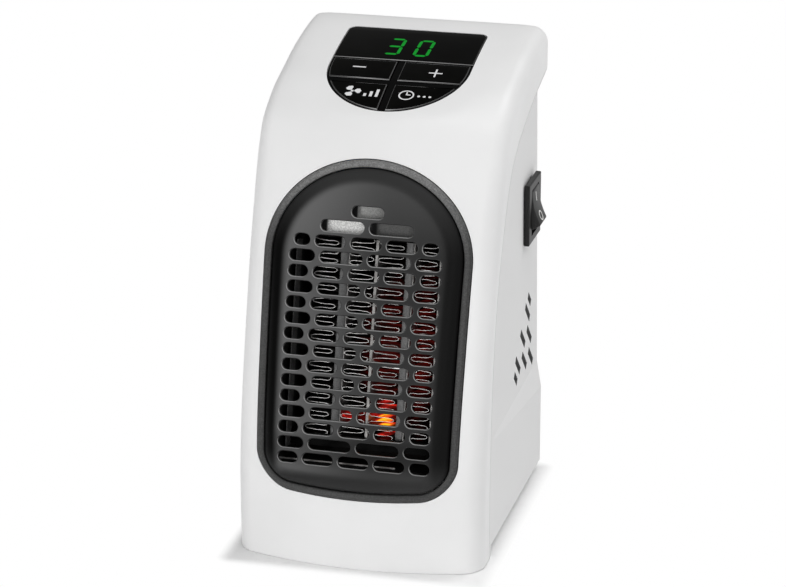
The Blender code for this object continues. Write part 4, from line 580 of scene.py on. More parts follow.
def skin_heights(outline):
    """How far the cover's skin is out of the outlet's frame along an outline."""
    rows = cover_skin()
    count = len(rows[0])
    firsts = [r * count + c for r in range(len(rows) - 1) for c in range(count - 1)]
    quads = [(first, first + 1, first + count + 1, first + count) for first in firsts]
    points = [point for row in rows for point in row]
    tree = BVHTree.FromPolygons(points, quads)
    starts = [outlet @ Vector((x, y, 0.1)) for x, y in outline]
    return [(into_outlet @ tree.ray_cast(start, -outlet_out)[0]).z for start in starts]


def outlet_loop(inset, heights):
    return [outlet @ Vector((x, y, h)) for (x, y), h in zip(arch(inset), heights)]


ring_skin = skin_heights(arch(-GAP))
ring_profile = (
    (0.0, -RING_SINK),
    (0.0, RING_PROUD - 0.00075),
    (0.0001, RING_PROUD - 0.00062),
    (0.00062, RING_PROUD - 0.0001),
    (0.00078, RING_PROUD),
    (RING_BAND - 0.0007, RING_PROUD),
    (RING_BAND - 0.0003, RING_PROUD - 0.00015),
    (RING_BAND - 0.00008, RING_PROUD - 0.0005),
    (RING_BAND, RING_PROUD - 0.0012),
    (RING_BAND, -RING_SINK),
)
ring_loops = [outlet_loop(inset, [h + rise for h in ring_skin]) for inset, rise in ring_profile]
ring = new_piece("outlet_ring", grid_mesh(ring_loops, closed_rows=True, closed_columns=True))
shade(ring.data, 30)


def grained_plastic(name, colour, roughness, grain_size=0.00035, depth=0.00003, shine=0.2):
    """Moulding with a spark-eroded grain: small pits, a little paler on top. Where the
    colour is None, the piece sets its own."""
    coat = Coat(name, Specular_IOR_Level=shine)
    grain = coat.noise(grain_size, 3, 0.6)
    coat.set(Roughness=roughness + (grain - 0.5) * 0.18, Normal=coat.bump(grain, depth, 0.6))
    if colour:
        pale = tuple(channel * 1.5 + 0.004 for channel in colour)
        tops = grain.ramp(0.35, 0.75) * 0.7 + coat.noise(0.02, 2) * 0.2
        coat.set(Base_Color=tops.mix(colour, pale))
    return coat


ring_grey = grained_plastic("ring_grey", None, 0.5, 0.0005, 0.00005, 0.25)
ring_pits = ring_grey.noise(0.0005, 3, 0.6).ramp(0.35, 0.75, 0.6, 1.3)
# Painted highlight: the ring is paler towards its top, times the random pits of its grain.
ring_pits_and_highlight = ring_grey.along(1).ramp(0.0, 0.033, 0.052, 0.19) * ring_pits
ring_grey.set(Base_Color=ring_pits_and_highlight.mix(grey(0), (1, 1, 0.99)))
ring_grey.on(ring)
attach(ring, "casing")
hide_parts("grille_ring")


# Outlet panel: a black heat-proof moulding, 1.6 mm thick. Its slightly crowned field has
# rows of round-ended slots, staggered like bricks, and its border curves back to the ring.
PANEL_THICK = 0.0016
PANEL_BORDER = 0.0080
SLOT_HALF = 0.001925
SLOT_PITCH = 0.0052
SLOT_BRIDGE = 0.0017
SLOT_FIELD = 0.0520
SLOT_EDGE = 0.00032
SLOT_TOP = 0.0049
# Slots in a row and how long its end slots are, for the long and for the short rows
SLOT_ROWS = ((5, 0.0068), (4, 0.0088))
# The first row's end slots are shorter by this. Above it are a pair and a single slot.
TOP_TRIM = 0.0014
PAIR_LONG = 0.0150
SINGLE_HALF = 0.00555
# (how far out, how deep) of each step of a slot's edge, as shares of SLOT_EDGE
SLOT_PROFILE = ((0.55, 0.11), (0.2, 0.4), (0.0, 1.0))
# The field's crown, and how far it falls off at the foot and at the sides. The crown
# starts and ends at these levels and takes a run for each.
CROWN = 0.0015
CROWN_FALL = 0.0005
SIDE_FALL = 0.0004
CROWN_FROM, CROWN_RUN = 0.0120, 0.0380
FALL_FROM, FALL_RUN = -0.0580, 0.0142
# How far the border's outer edge is below the cover's skin
BORDER_SINK = 0.0004


def slot_spans():
    """(left, right, height) of each slot of the panel."""
    spans = []
    for row in range(15):
        level = SLOT_TOP - row * SLOT_PITCH
        count, end = SLOT_ROWS[row % 2]
        middle = (SLOT_FIELD - 2 * end - (count - 1) * SLOT_BRIDGE) / (count - 2)
        trim = 0 if row else TOP_TRIM
        widths = [end - trim] + [middle] * (count - 2) + [end - trim]
        x = trim - SLOT_FIELD / 2
        for width in widths:
            spans.append((x, x + width, level))
            x += width + SLOT_BRIDGE
    pair = SLOT_TOP + SLOT_PITCH
    inner = SLOT_BRIDGE / 2
    spans += [(-inner - PAIR_LONG, -inner, pair), (inner, inner + PAIR_LONG, pair)]
    return spans + [(-SINGLE_HALF, SINGLE_HALF, pair + SLOT_PITCH)]


def slot_loop(span, grow):
    left, right, level = span
    radius = SLOT_HALF + grow
    points = arc_points((right - SLOT_HALF, level), radius, -math.pi / 2, math.pi / 2, 9)
    return points + arc_points((left + SLOT_HALF, level), radius, math.pi / 2, math.pi * 1.5, 9)


def in_slot(point, span, grow):
    left, right, level = span
    x = min(max(point.x, left + SLOT_HALF), right - SLOT_HALF)
    return math.hypot(point.x - x, point.y - level) < SLOT_HALF + grow


def panel_rise(x, y):
    """The field's crown: it stands out below the arch, and falls off to both sides and
    to the foot."""
    rise = eased((CROWN_FROM - y) / CROWN_RUN)
    fall = eased((FALL_FROM - y) / FALL_RUN)
    side = (2 * x / SLOT_FIELD) ** 2
    return CROWN * rise * (1 - fall) - CROWN_FALL * fall - SIDE_FALL * side


def panel_point(x, y, h=0.0):
    return outlet @ Vector((x, y, panel_rise(x, y) + h))


def panel_field(work, loops, spans):
    """The field's two skins. Returns their vertices along the rim and each slot."""
    flat, edges, starts = [], [], []
    for loop in loops:
        starts.append(len(flat))
        edges += [(len(flat) + i, len(flat) + (i + 1) % len(loop)) for i in range(len(loop))]
        flat += [Vector(point) for point in loop]
    points, _, faces, sources = delaunay_2d_cdt(flat, edges, [], 1, 1e-7)[:4]
    layer = work.verts.layers.int.new("flat")
    field = [work.verts.new(panel_point(p.x, p.y)) for p in points]
    back = [work.verts.new(panel_point(p.x, p.y, -PANEL_THICK)) for p in points]
    for vertex in field + back:
        vertex[layer] = 1
    for face in faces:
        centre = sum((points[i] for i in face), Vector((0, 0))) / len(face)
        if not any(in_slot(centre, span, SLOT_EDGE) for span in spans):
            work.faces.new([field[i] for i in face])
            work.faces.new([back[i] for i in face[::-1]])
    place_of = {index: i for i, source in enumerate(sources) for index in source}
    rings = []
    for loop, start in zip(loops, starts):
        ring = [place_of[start + i] for i in range(len(loop))]
        rings.append(([field[i] for i in ring], [back[i] for i in ring]))
    return rings


def slot_walls(work, span, ring, back):
    """A slot's rounded front edge, then its straight wall."""
    for grow, depth in SLOT_PROFILE:
        loop = slot_loop(span, SLOT_EDGE * grow)
        after = [work.verts.new(panel_point(x, y, -SLOT_EDGE * depth)) for x, y in loop]
        band(work, ring, after, 1)
        ring = after
    foot = [work.verts.new(panel_point(x, y, -PANEL_THICK)) for x, y in slot_loop(span, 0)]
    band(work, ring, foot)
    band(work, foot, back)


def panel_border(work, ring, back):
    """The border, which turns back through a quarter circle to the ring's inner edge."""
    outer = RING_BAND + GAP
    skin = skin_heights(arch(outer))
    steps = 9
    for i in range(1, steps + 1):
        turn = math.radians(90) * i / steps
        drop = 1 - math.cos(turn)
        loop = arch(PANEL_BORDER - (PANEL_BORDER - outer) * math.sin(turn))
        rises = [
            (height - BORDER_SINK) * drop + panel_rise(*point) * (1 - drop)
            for height, point in zip(skin, loop)
        ]
        places = [(*point, rise) for point, rise in zip(loop, rises)]
        after = [work.verts.new(outlet @ Vector(place)) for place in places]
        under = [work.verts.new(outlet @ Vector((x, y, h - PANEL_THICK))) for x, y, h in places]
        band(work, ring, after)
        band(work, back[::-1], under[::-1])
        ring, back = after, under
    band(work, ring, back)


def crown_normals(mesh):
    """Normals of the crown's formula on the field, whose faces are long and uneven."""
    normals = [Vector(corner.vector) for corner in mesh.corner_normals]
    is_flat = [value.value for value in mesh.attributes["flat"].data]
    step = 0.0001
    for face in mesh.polygons:
        level = face.normal.dot(outlet_out)
        if abs(level) < 0.3:
            continue
        for corner, vertex in zip(face.loop_indices, face.vertices):
            if is_flat[vertex]:
                x, y, h = into_outlet @ mesh.vertices[vertex].co
                lean_x = (panel_rise(x - step, y) - panel_rise(x + step, y)) / (2 * step)
                lean_y = (panel_rise(x, y - step) - panel_rise(x, y + step)) / (2 * step)
                crown = outlet.to_3x3() @ Vector((lean_x, lean_y, 1)).normalized()
                normals[corner] = crown * math.copysign(1, level)
    mesh.normals_split_custom_set(normals)
    mesh.attributes.remove(mesh.attributes["flat"])


def slotted_panel():
    spans = slot_spans()
    work = bmesh.new()
    loops = [arch(PANEL_BORDER)] + [slot_loop(span, SLOT_EDGE) for span in spans]
    rim, *slots = panel_field(work, loops, spans)
    for span, (ring, back) in zip(spans, slots):
        slot_walls(work, span, ring, back)
    panel_border(work, *rim)
    mesh = mesh_from(work)
    shade(mesh, 50)
    crown_normals(mesh)
    return mesh


panel = new_piece("outlet_panel", slotted_panel())
panel_black = grained_plastic("panel_black", None, 0.45, 0.00022, 0.000010, 0.03)
across, up = panel_black.along(0), panel_black.along(1)
# Distance in from the arch's outline, which is a little narrower towards its foot
narrowing = (ARCH_HALF - FOOT_HALF) / -(FOOT_LEVEL + FOOT_CORNER)
from_middle = (across**2 + (up.at_least(0) * (ARCH_HALF / ARCH_RISE)) ** 2) ** 0.5
side_gap = up.at_most(0) * narrowing + ARCH_HALF - from_middle
field = side_gap.ramp(0.0062, 0.0096) * up.ramp(-0.0745, -0.0705)
# Painted highlights: the colour is paler at the border's foot and top, towards the right, and over
# the field's left, where the lights' reflections fall. A faint random grain goes on top.
pale = up.ramp(-0.0780, -0.0640, 0.030, 0.0) + up.ramp(0.000, 0.030, 0.0, 0.030)
pale = pale + across.ramp(0, 0.025, 0, 0.006) + across.ramp(-0.030, 0.010, 0.060, 0.0) * field
pale = pale + panel_black.noise(0.00022, 3).ramp(0.3, 0.8, 0.0, 0.002)
panel_black.set(
    Base_Color=pale.mix(grey(0.001), grey(1)),
    Coat_Weight=field * 0.31,
    Coat_Roughness=0.36,
)
panel_black.on(panel)
lip_black = grained_plastic("lip_black", None, 0.36, 0.00022, 0.000008, 0.2)
# Painted highlight: the slots' lips are paler where they face up and to the right.
painted_lip_light = lip_black.facing(outlet.to_3x3() @ Vector((0.6, 0.8, 0))).ramp(-0.20, 0.75)
lip_black.set(Base_Color=painted_lip_light.mix(grey(0.012), grey(0.34)))
panel.data.materials.append(lip_black.material)
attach(panel, "casing")
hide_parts("grille_panel")


# Heater core: four ribbons of folded aluminium fin, bonded between two ceramic bars,
# a centre plate and two end plates. Each fold is a long hairpin of 0.16 mm sheet.
CORE_TOP = 0.0063
CORE_LONG = 0.0686
CORE_FRONT = 0.0160
CORE_DEEP = 0.0120
FIN_LEGS = 45
FIN_TURN = 0.0017
FIN_SHEET = 0.00016
# Folds aren't quite straight: each leg bows and slants a little, differently
FIN_BOW = 0.00009
FIN_WAVE = 0.00006
FIN_SLANT = 0.04


def hairpin_line(left, right, start):
    """The ribbon's course across a column, with a rounded turn at alternate ends."""
    pitch = CORE_LONG / FIN_LEGS
    line = []
    for leg in range(FIN_LEGS):
        way = 1 if (leg + start) % 2 == 0 else -1
        first, last = (left, right - FIN_TURN) if way > 0 else (right, left + FIN_TURN)
        if leg:
            first += FIN_TURN * way
        y = CORE_TOP - (leg + 0.5) * pitch
        wave = math.sin(leg * 2.7 + start * 1.9 + left * 300)
        bow = FIN_BOW * (-1) ** leg + FIN_WAVE * wave
        slant = pitch * FIN_SLANT * (1 + math.sin(leg * 1.3 + left * 200))
        for k in range(9):
            t = k / 8
            height = y + slant * (1 - 2 * t) + bow * math.sin(math.pi * t)
            line.append(Vector((first + (last - first) * t, height)))
        if leg < FIN_LEGS - 1:
            for k in range(1, 8):
                angle = math.radians(90) - math.pi * k / 8
                x = last + FIN_TURN * way * math.cos(angle)
                line.append(Vector((x, y - pitch / 2 + (pitch / 2 - slant) * math.sin(angle))))
    return line


def fin_mesh(left, right, start):
    """The ribbon's sheet along its course. Its front edges take a pale copy of its metal and its
    sides a dark copy: a painted highlight and painted shade.
    """
    rows = []
    line = hairpin_line(left, right, start)
    for point, normal in zip(line, line_normals(line)):
        row = []
        for side, depth in ((-1, 0), (1, 0), (1, CORE_DEEP), (-1, CORE_DEEP)):
            x, y = point + normal * (side * FIN_SHEET / 2)
            row.append(outlet @ Vector((x, y, -CORE_FRONT - depth)))
        rows.append(row)
    mesh = grid_mesh(rows, closed_rows=True)
    for face in mesh.polygons:
        face.material_index = 0 if face.normal.dot(outlet_out) > 0.9 else 1
    return mesh


# (across, up, half width, half height, strength) of each patch of painted glow
GLOW_SPOTS = (
    (0.0060, -0.0330, 0.0115, 0.0260, 0.105),
    (0.0165, -0.0300, 0.0060, 0.0300, 0.085),
    (0.0055, -0.0555, 0.0024, 0.0025, 0.98),
    (0.0056, -0.0500, 0.0028, 0.0014, 0.36),
    (0.0058, -0.0597, 0.0024, 0.0011, 0.44),
    (-0.0078, -0.0552, 0.0022, 0.0020, 0.30),
    (0.0010, -0.0548, 0.0100, 0.0022, 0.20),
)
# (glow from, glow to, colour): dull red, red, orange and yellow
GLOW_COLOURS = (
    (0.07, 0.28, (0.075, 0.003, 0.002)),
    (0.26, 0.50, (0.55, 0.010, 0.008)),
    (0.50, 0.78, (1.0, 0.11, 0.012)),
    (0.78, 1.05, (1.0, 0.52, 0.012)),
)


def glow_of(coat):
    """A painted red glow on the fins, which are no lamp, by place in the outlet's frame."""
    x = coat.along(0)
    y = coat.along(1)
    glow_level = coat.noise(0.0030, 2) * 0.10
    for cx, cy, wide, tall, power in GLOW_SPOTS:
        far = ((x - cx) / wide) ** 2 + ((y - cy) / tall) ** 2
        glow_level = glow_level + far.ramp(0.1, 1.6, power, 0)
    specks = coat.noise(0.0011, 2, 0.6) * 0.9 + 0.25
    patches = coat.noise(0.0045, 2).ramp(0.38, 0.60, 0.55, 1.35) + 0.3
    glow_level = glow_level * specks * patches
    colour = grey(0)
    for low, high, brighter_glow in GLOW_COLOURS:
        colour = glow_level.ramp(low, high).mix(colour, brighter_glow)
    return colour


def metal(name, dark, pale, roughness, metallic=1.0, size=0.0015):
    """Bare metal with handling haze and dust."""
    coat = Coat(name, Metallic=metallic)
    haze = coat.noise(size, 3)
    coat.set(Base_Color=haze.ramp(0.3, 0.7).mix(dark, pale), Roughness=roughness + haze * 0.15)
    return coat


# The fins' edges and sides are lit and shaded copies of one aluminium: a painted highlight on the
# edges and painted shade on the sides, which also carry a painted red glow.
fin_edge = metal("fin_edge", (0.40, 0.39, 0.38), (0.72, 0.71, 0.70), 0.35, 0.6)
fin_metal = metal("fin_metal", (0.05, 0.045, 0.04), (0.10, 0.095, 0.09), 0.4, 0.5)
fin_metal.set(Emission_Color=glow_of(fin_metal), Emission_Strength=1.0)
FIN_SPANS = ((-0.0212, -0.0134), (-0.0092, -0.0010), (0.0006, 0.0092), (0.0138, 0.0210))
for number, (left, right) in enumerate(FIN_SPANS, 1):
    fin = new_piece(f"fin_ribbon_{number}", fin_mesh(left, right, number % 2))
    shade(fin.data, 50)
    fin_edge.on(fin)
    fin.data.materials.append(fin_metal.material)
    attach(fin, "casing")
    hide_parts(f"heat_fin_{number}")
plate_metal = metal("plate_metal", (0.28, 0.27, 0.26), (0.48, 0.47, 0.46), 0.42, 0.6, 0.002)
dress(plate_metal, "centre_plate", "end_plate_right", "thermal_fuse", edge=0.0001, degrees=40)
ceramic = Coat("heater_ceramic", Specular_IOR_Level=0.3)
ceramic_grain = ceramic.noise(0.0004, 3)
ceramic.set(
    Base_Color=ceramic_grain.ramp(0.3, 0.7).mix(grey(0.20), grey(0.28)),
    Roughness=0.6,
    Normal=ceramic.bump(ceramic_grain, 0.00003),
)


def upright(name, left, right, front, deep, coat, slot, low=CORE_TOP - CORE_LONG, high=CORE_TOP):
    """A bar or plate on the outlet's frame, behind its face."""
    outline = [(left, low), (right, low), (right, high), (left, high)]
    piece = new_piece(name, prism(outline, -front - deep, -front, outlet))
    coat.on(piece)
    round_edges(piece, min(right - left, high - low) * 0.2, 2)
    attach(piece, "casing")
    return piece


# (side, left, right, left of its electrode, a strip beside it)
BARS = (("left", -0.01305, -0.0098, -0.0096), ("right", 0.0095, 0.01226, 0.01262))
STRIP = 0.0003
for side, left, right, edge in BARS:
    beam = upright(f"ceramic_beam_{side}", left, right, 0.0176, 0.0100, ceramic, "grey_ceramic")
    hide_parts(f"ceramic_bar_{side}")
    strip = (edge, edge + STRIP, CORE_FRONT, CORE_DEEP)
    upright(f"electrode_{side}", *strip, plate_metal, "fin_metal")


# Mica duct and baffle: pressed mica sheet, grey with silvery flakes, folded into a box
# round the core, with a plate behind the top slots.


def mica_coat(name, dark, pale, lit_of=None):
    """Pressed flakes. lit_of gives how much of a place is out of its painted shadow, which is black.
    """
    coat = Coat(name, Specular_IOR_Level=0.3)
    feeds = {"Vector": coat.place, "Scale": 3200.0}
    flakes = coat.node("ShaderNodeTexVoronoi", {}, feeds, output="Color")
    tone = flakes.part(0) * 0.5 + coat.noise(0.0004, 3) * 0.5
    colour = tone.ramp(0.25, 0.75).mix(dark, pale)
    if lit_of:
        colour = lit_of(coat).mix(grey(0.004), colour)
    coat.set(
        Base_Color=colour,
        Roughness=0.45 + tone * 0.25,
        Normal=coat.bump(coat.noise(0.0006, 3), 0.00004),
    )
    return coat


def out_of_slot_shadow(coat):
    """How far the baffle is out of its painted shadows behind the three top slots: shadows at the
    slots' left ends, and painted shade that grows towards the right. The rest is black.
    """
    across, up = coat.along(0), coat.along(1)
    right = across.ramp(-0.0009, -0.0004)
    right_start = right * across.ramp(0.0018, 0.0026, 1, 0)
    pair = across.ramp(-0.0151, -0.0143) * (1 - right_start) * (1 - right * 0.90)
    crown = across.ramp(-0.0050, -0.0042) * across.ramp(-0.0050, 0.0040, 0.45, 0.30)
    return up.ramp(0.0125, 0.0126).choose(pair, crown)


baffle_mica = mica_coat("mica_baffle", (0.66, 0.66, 0.65), (1.0, 1.0, 0.98), out_of_slot_shadow)
shield = (-0.0180, 0.0180, 0.0048, 0.0006)
baffle = upright("mica_shield", *shield, baffle_mica, "mica_sheet", 0.0070, 0.0176)
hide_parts("mica_baffle")
# Painted shade: the duct's mica is near black. Its folds are a paler copy and its front lip takes the
# bright plate metal: painted highlights on its edges.
dress(mica_coat("mica_duct", grey(0.006), (0.02, 0.02, 0.019)), "heater_duct")
fold = mica_coat("mica_fold", grey(0.06), grey(0.16))
for name, left, right in (("outer", -0.0290, -0.0286), ("inner", -0.0262, -0.0259)):
    upright(f"duct_fold_{name}", left, right, 0.0098, 0.006, fold, "mica_sheet", -0.066, 0.004)
lip = (-0.0285, 0.0125, 0.0085, 0.0006)
upright("duct_front_lip", *lip, plate_metal, "mica_sheet", -0.0700, -0.0694)
# Painted shade: the left end plate and the core's clamps are near black, where the right end plate
# shows its metal.
shade_black = grained_plastic("shade_black", grey(0.003), 0.6, shine=0.05)
dress(shade_black, "end_plate_left", "core_clamp_top", "core_clamp_bottom")


# Display window: one sheet of smoked black acrylic over the two green digits, flush
# with the facet's surface. A fine gap parts it from the keys below.
LENS_LINE = 0.0050
LENS_DEEP = 0.0021
LENS_EDGE = 0.0002


def clipped(outline, axis, level, way):
    """The part of an outline beyond a level of one axis, upwards or downwards."""
    points = []
    for a, b in zip(outline, outline[1:] + outline[:1]):
        a_in = (a[axis] - level) * way >= 0
        b_in = (b[axis] - level) * way >= 0
        if a_in:
            points.append(a)
        if a_in != b_in:
            t = (level - a[axis]) / (b[axis] - a[axis])
            points.append((a[0] + (b[0] - a[0]) * t, a[1] + (b[1] - a[1]) * t))
    return points


def drawn_in(outline, distance):
    """A convex outline with each side moved in by a distance."""
    corners = [Vector(point) for point in outline]
    points = [p for i, p in enumerate(corners) if (p - corners[i - 1]).length > 1e-6]
    result = []
    for i, point in enumerate(points):
        before = (point - points[i - 1]).normalized()
        after = (points[(i + 1) % len(points)] - point).normalized()
        a = Vector((-before.y, before.x))
        b = Vector((-after.y, after.x))
        half = (a + b).normalized()
        result.append(point + half * distance / max(half.dot(a), 0.35))
    return result


def on_facet(x, y, h):
    """A point above or under the key panel's arc."""
    return key_panel @ Vector((x, y, h + math.sqrt(FACET_RADIUS**2 - y**2) - FACET_RADIUS))


def tablet(outline, deep, edge):
    """A sheet that follows the facet, with rounded upper edges."""
    work = bmesh.new()
    rings = []
    for inset, level in ((0, -deep), (0, -edge), (0.13, -edge / 2), (0.5, -edge * 0.13), (1, 0)):
        loop = drawn_in(outline, edge * inset)
        rings.append([work.verts.new((p.x, p.y, level)) for p in loop])
    for i, (ring, after) in enumerate(zip(rings, rings[1:])):
        band(work, ring, after, 1 if i else 0)
    work.faces.new(rings[0][::-1])
    work.faces.new(rings[-1])
    # Cuts across, so that the sheet can bend with the facet
    for i in range(-12, 14):
        geometry = work.verts[:] + work.edges[:] + work.faces[:]
        bmesh.ops.bisect_plane(work, geom=geometry, plane_co=(0, i * 0.0022, 0), plane_no=(0, 1, 0))
    for vertex in work.verts:
        vertex.co = on_facet(*vertex.co)
    mesh = mesh_from(work)
    shade(mesh, 50)
    return mesh


lens_outline = clipped(key_panel_outline(-GAP), 1, LENS_LINE, 1)
lens = new_piece("display_window", tablet(lens_outline, LENS_DEEP, LENS_EDGE))
smoked = Coat("smoked_acrylic", Specular_IOR_Level=0.018)
smear = smoked.noise(0.012, 3, 0.6)
smoked.set(
    Base_Color=smear.ramp(0.4, 0.7).mix((0.0020, 0.0020, 0.0018), (0.0030, 0.0030, 0.0027)),
    Roughness=0.10 + smear * 0.06,
    Normal=smoked.bump(smoked.noise(0.02, 1), 0.00005, 0.4),
)
# Painted highlights on the lens's and the keys' edge bands: paler where they face the rear, dimmer
# where they face the sides, with a random mottle.
edge_shine = Coat("edge_shine", Specular_IOR_Level=0.1)
edge_mottle = edge_shine.noise(0.0030, 3, 0.6)
side_on = abs(edge_shine.facing((1, 0, 0))).ramp(0.03, 0.22, 1.0, 0.12)
rear_on = edge_shine.facing((0, 1, 0)).ramp(0.0, 0.4, 0.38, 1.0)
painted_edge_highlight = edge_mottle.ramp(0.3, 0.7, 0.8, 1.0) * side_on * rear_on
edge_shine.set(Base_Color=painted_edge_highlight.mix(grey(0.01), grey(0.90)), Roughness=0.3 + edge_mottle * 0.1)
smoked.on(lens)
lens.data.materials.append(edge_shine.material)
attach(lens, "casing")
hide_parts("display_lens")


# Digits: two seven-segment numerals of green light-emitting diodes behind the window.
# The segments lean to the right, with mitred ends.
DIGIT_HIGH = 0.0108
DIGIT_SLANT = 0.04
SEGMENT_HALF = 0.00055
SEGMENT_GAP = 0.00022
SEGMENTS_OF = {"3": "abcdg", "0": "abcdef"}
# How far a flat mark stands proud of the key panel, and how far down it reaches
MARK_PROUD = 0.00003
MARK_SINK = 0.00007


def flat_mark(polygons):
    """Flat marks on the key panel, each a closed outline."""
    work = bmesh.new()
    for polygon in polygons:
        slab(work, polygon, -MARK_SINK, MARK_PROUD, on_facet)
    return mesh_from(work)


def digit_polygons(digit, left, right, low):
    """Outlines of a digit's segments, each with two pointed ends."""
    width = right - left
    top, middle, base = DIGIT_HIGH, DIGIT_HIGH / 2, 0.0
    lines = {
        "a": ((0, top), (width, top)),
        "g": ((0, middle), (width, middle)),
        "d": ((0, base), (width, base)),
        "f": ((0, middle), (0, top)),
        "b": ((width, middle), (width, top)),
        "e": ((0, base), (0, middle)),
        "c": ((width, base), (width, middle)),
    }
    polygons = []
    for segment in SEGMENTS_OF[digit]:
        start, end = [Vector(p) for p in lines[segment]]
        run = (end - start).normalized()
        across = Vector((-run.y, run.x)) * SEGMENT_HALF
        tip = run * SEGMENT_HALF
        a = start + run * SEGMENT_GAP
        b = end - run * SEGMENT_GAP
        shape = [a, a + tip - across, b - tip - across, b, b - tip + across, a + tip + across]
        polygons.append([(left + p.x + p.y * DIGIT_SLANT, low + p.y) for p in shape])
    return polygons


digit_shapes = digit_polygons("3", -0.0076, -0.0030, 0.0089)
digit_shapes += digit_polygons("0", 0.0027, 0.0071, 0.0088)
digits = new_piece("digits", flat_mark(digit_shapes))
diode_green = Coat("diode_green", Roughness=0.4, Specular_IOR_Level=0.02, Emission_Strength=1.0)
flicker = diode_green.noise(0.0012, 2).ramp(0.2, 0.8)
diode_green.set(
    Base_Color=flicker.mix((0.002, 0.010, 0.004), (0.003, 0.016, 0.006)),
    Emission_Color=flicker.mix((0.003, 0.22, 0.016), (0.005, 0.30, 0.024)),
)
diode_green.on(digits)
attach(digits, "casing")

# Keys: four black ABS caps on a black tray, satin glossy, each sprung over its switch.
# Their marks are printed in white: a minus, a plus, a fan wheel with bars for the speed
# and a clock with dots for the timer.
KEY_DEEP = 0.0016
KEY_EDGE = 0.0003
KEY_GAP = 0.0009
# Inner edges of the left and of the right keys, then the edges between the two rows
SPLIT = {-1: -0.0017, 1: 0.0010}
UPPER_LOW = -0.0076
LOWER_TOP = -0.0104
# (-1 on the left or 1 on the right, 1 in the upper row)
KEYS = {"minus": (-1, 1), "plus": (1, 1), "speed": (-1, 0), "timer": (1, 0)}
tray_black = grained_plastic("tray_black", grey(0.0010), 0.5, 0.0003, 0.00001, 0.02)
dress(tray_black, "display_bezel", edge=0.0002)
key_black = Coat("key_black", Specular_IOR_Level=0.018)
key_wear = key_black.noise(0.006, 3, 0.6)
key_black.set(
    Base_Color=key_wear.ramp(0.3, 0.7).mix((0.0014, 0.0014, 0.0012), (0.0024, 0.0024, 0.0021)),
    Roughness=0.20 + key_wear * 0.08,
    Normal=key_black.bump(key_black.noise(0.0007, 2), 0.000008, 0.5),
)
for name, (side, upper) in KEYS.items():
    outline = clipped(key_panel_outline(-KEY_GAP), 0, SPLIT[side], side)
    if upper:
        outline = clipped(outline, 1, UPPER_LOW, 1)
    top = LENS_LINE - KEY_GAP if upper else LOWER_TOP
    outline = clipped(outline, 1, top, -1)
    cap = new_piece(f"{name}_key_cap", tablet(outline, KEY_DEEP, KEY_EDGE))
    key_black.on(cap)
    cap.data.materials.append(edge_shine.material)
    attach(cap, f"{name}_key")
    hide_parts(f"key_{name}")


def bar(x0, x1, y0, y1):
    """A rectangle's outline."""
    return [(x0, y0), (x1, y0), (x1, y1), (x0, y1)]


def hoop(centre, radius, thick, start, end, steps):
    """A stretch of a ring, as one closed outline."""
    outer = arc_points(centre, radius + thick / 2, start, end, steps)
    return outer + arc_points(centre, radius - thick / 2, end, start, steps)


def ring_halves(centre, radius, thick):
    return [hoop(centre, radius, thick, i * math.pi, (i + 1) * math.pi, 16) for i in range(2)]


def dot(centre):
    return arc_points(centre, 0.0005, 0, math.tau, 12)[:-1]


# (radius, lead) round one blade of the fan wheel: its front edge, then its back edge
VANE = ((0.0006, 0.0), (0.0014, -0.35), (0.0022, -0.5), (0.0029, -0.35), (0.0031, 0.1))
VANE += ((0.0028, 0.55), (0.0020, 0.75), (0.0012, 0.7))


def vane(centre, turn):
    """One curved blade of the fan wheel."""
    x, y = centre
    return [(x + r * math.cos(turn + lead), y + r * math.sin(turn + lead)) for r, lead in VANE]


minus_mark = [bar(-0.0160, -0.0114, -0.0013, -0.0007)]
plus_mark = [bar(0.0106, 0.0153, -0.0022, -0.0016)]
for low, high in ((-0.0016, 0.0005), (-0.0043, -0.0022)):
    plus_mark.append(bar(0.01265, 0.01325, low, high))
wheel = (-0.0125, -0.0156)
fan_mark = [vane(wheel, i * math.tau / 3) for i in range(3)] + [dot(wheel)]
for i, left in enumerate((-0.0083, -0.0063, -0.0043)):
    fan_mark.append(bar(left, left + 0.0010, -0.0180, -0.0165 + i * 0.0013))
face = (0.0062, -0.0160)
clock_mark = ring_halves(face, 0.0024, 0.0005)
clock_mark += [bar(face[0] - 0.00022, face[0] + 0.00022, face[1], face[1] + 0.0017)]
clock_mark += [bar(face[0] + 0.00022, face[0] + 0.0014, face[1], face[1] + 0.00044)]
clock_mark += [dot((0.0105 + i * 0.0019, -0.0162)) for i in range(3)]
MARKS = {"minus": minus_mark, "plus": plus_mark, "speed": fan_mark, "timer": clock_mark}
print_white = Coat("print_white", Roughness=0.45, Specular_IOR_Level=0.3)
ink = print_white.noise(0.0005, 2)
print_white.set(Base_Color=ink.ramp(0.2, 0.8).mix((0.66, 0.66, 0.67), (0.74, 0.74, 0.75)))
for name, shapes in MARKS.items():
    mark = new_piece(f"{name}_mark", flat_mark(shapes))
    print_white.on(mark)
    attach(mark, f"{name}_key")

# Rocker switch: a black nylon case clipped into the right wall, and a rocker with a
# hollow face that turns on a pin inside. Its upper half is pressed in. The marks are
# printed.
ROCKER_HALF = 0.0063
ROCKER_TIP = 0.0070
ROCKER_HOLLOW = 0.0062
ROCKER_DEEP = 0.0108
ROCKER_MARK = (-0.0001, 0.00003)
# The place of its pin, and how far it is tipped at rest
ROCKER_PIN = (0.037911, -0.0192, 0.0265)
ROCKER_TIPPED = -14


def face_level(u):
    """How far the rocker's face is from its pin, at a place along its length."""
    return ROCKER_HOLLOW + (ROCKER_TIP - ROCKER_HOLLOW) * abs(u / ROCKER_HALF) ** 1.8


# Its frame: x out of the wall, y to the rear, z along the rocker, tipped with it
rocker_place = Matrix.Translation(ROCKER_PIN)
rocker_place = rocker_place @ Matrix.Rotation(math.radians(ROCKER_TIPPED), 4, "Y")
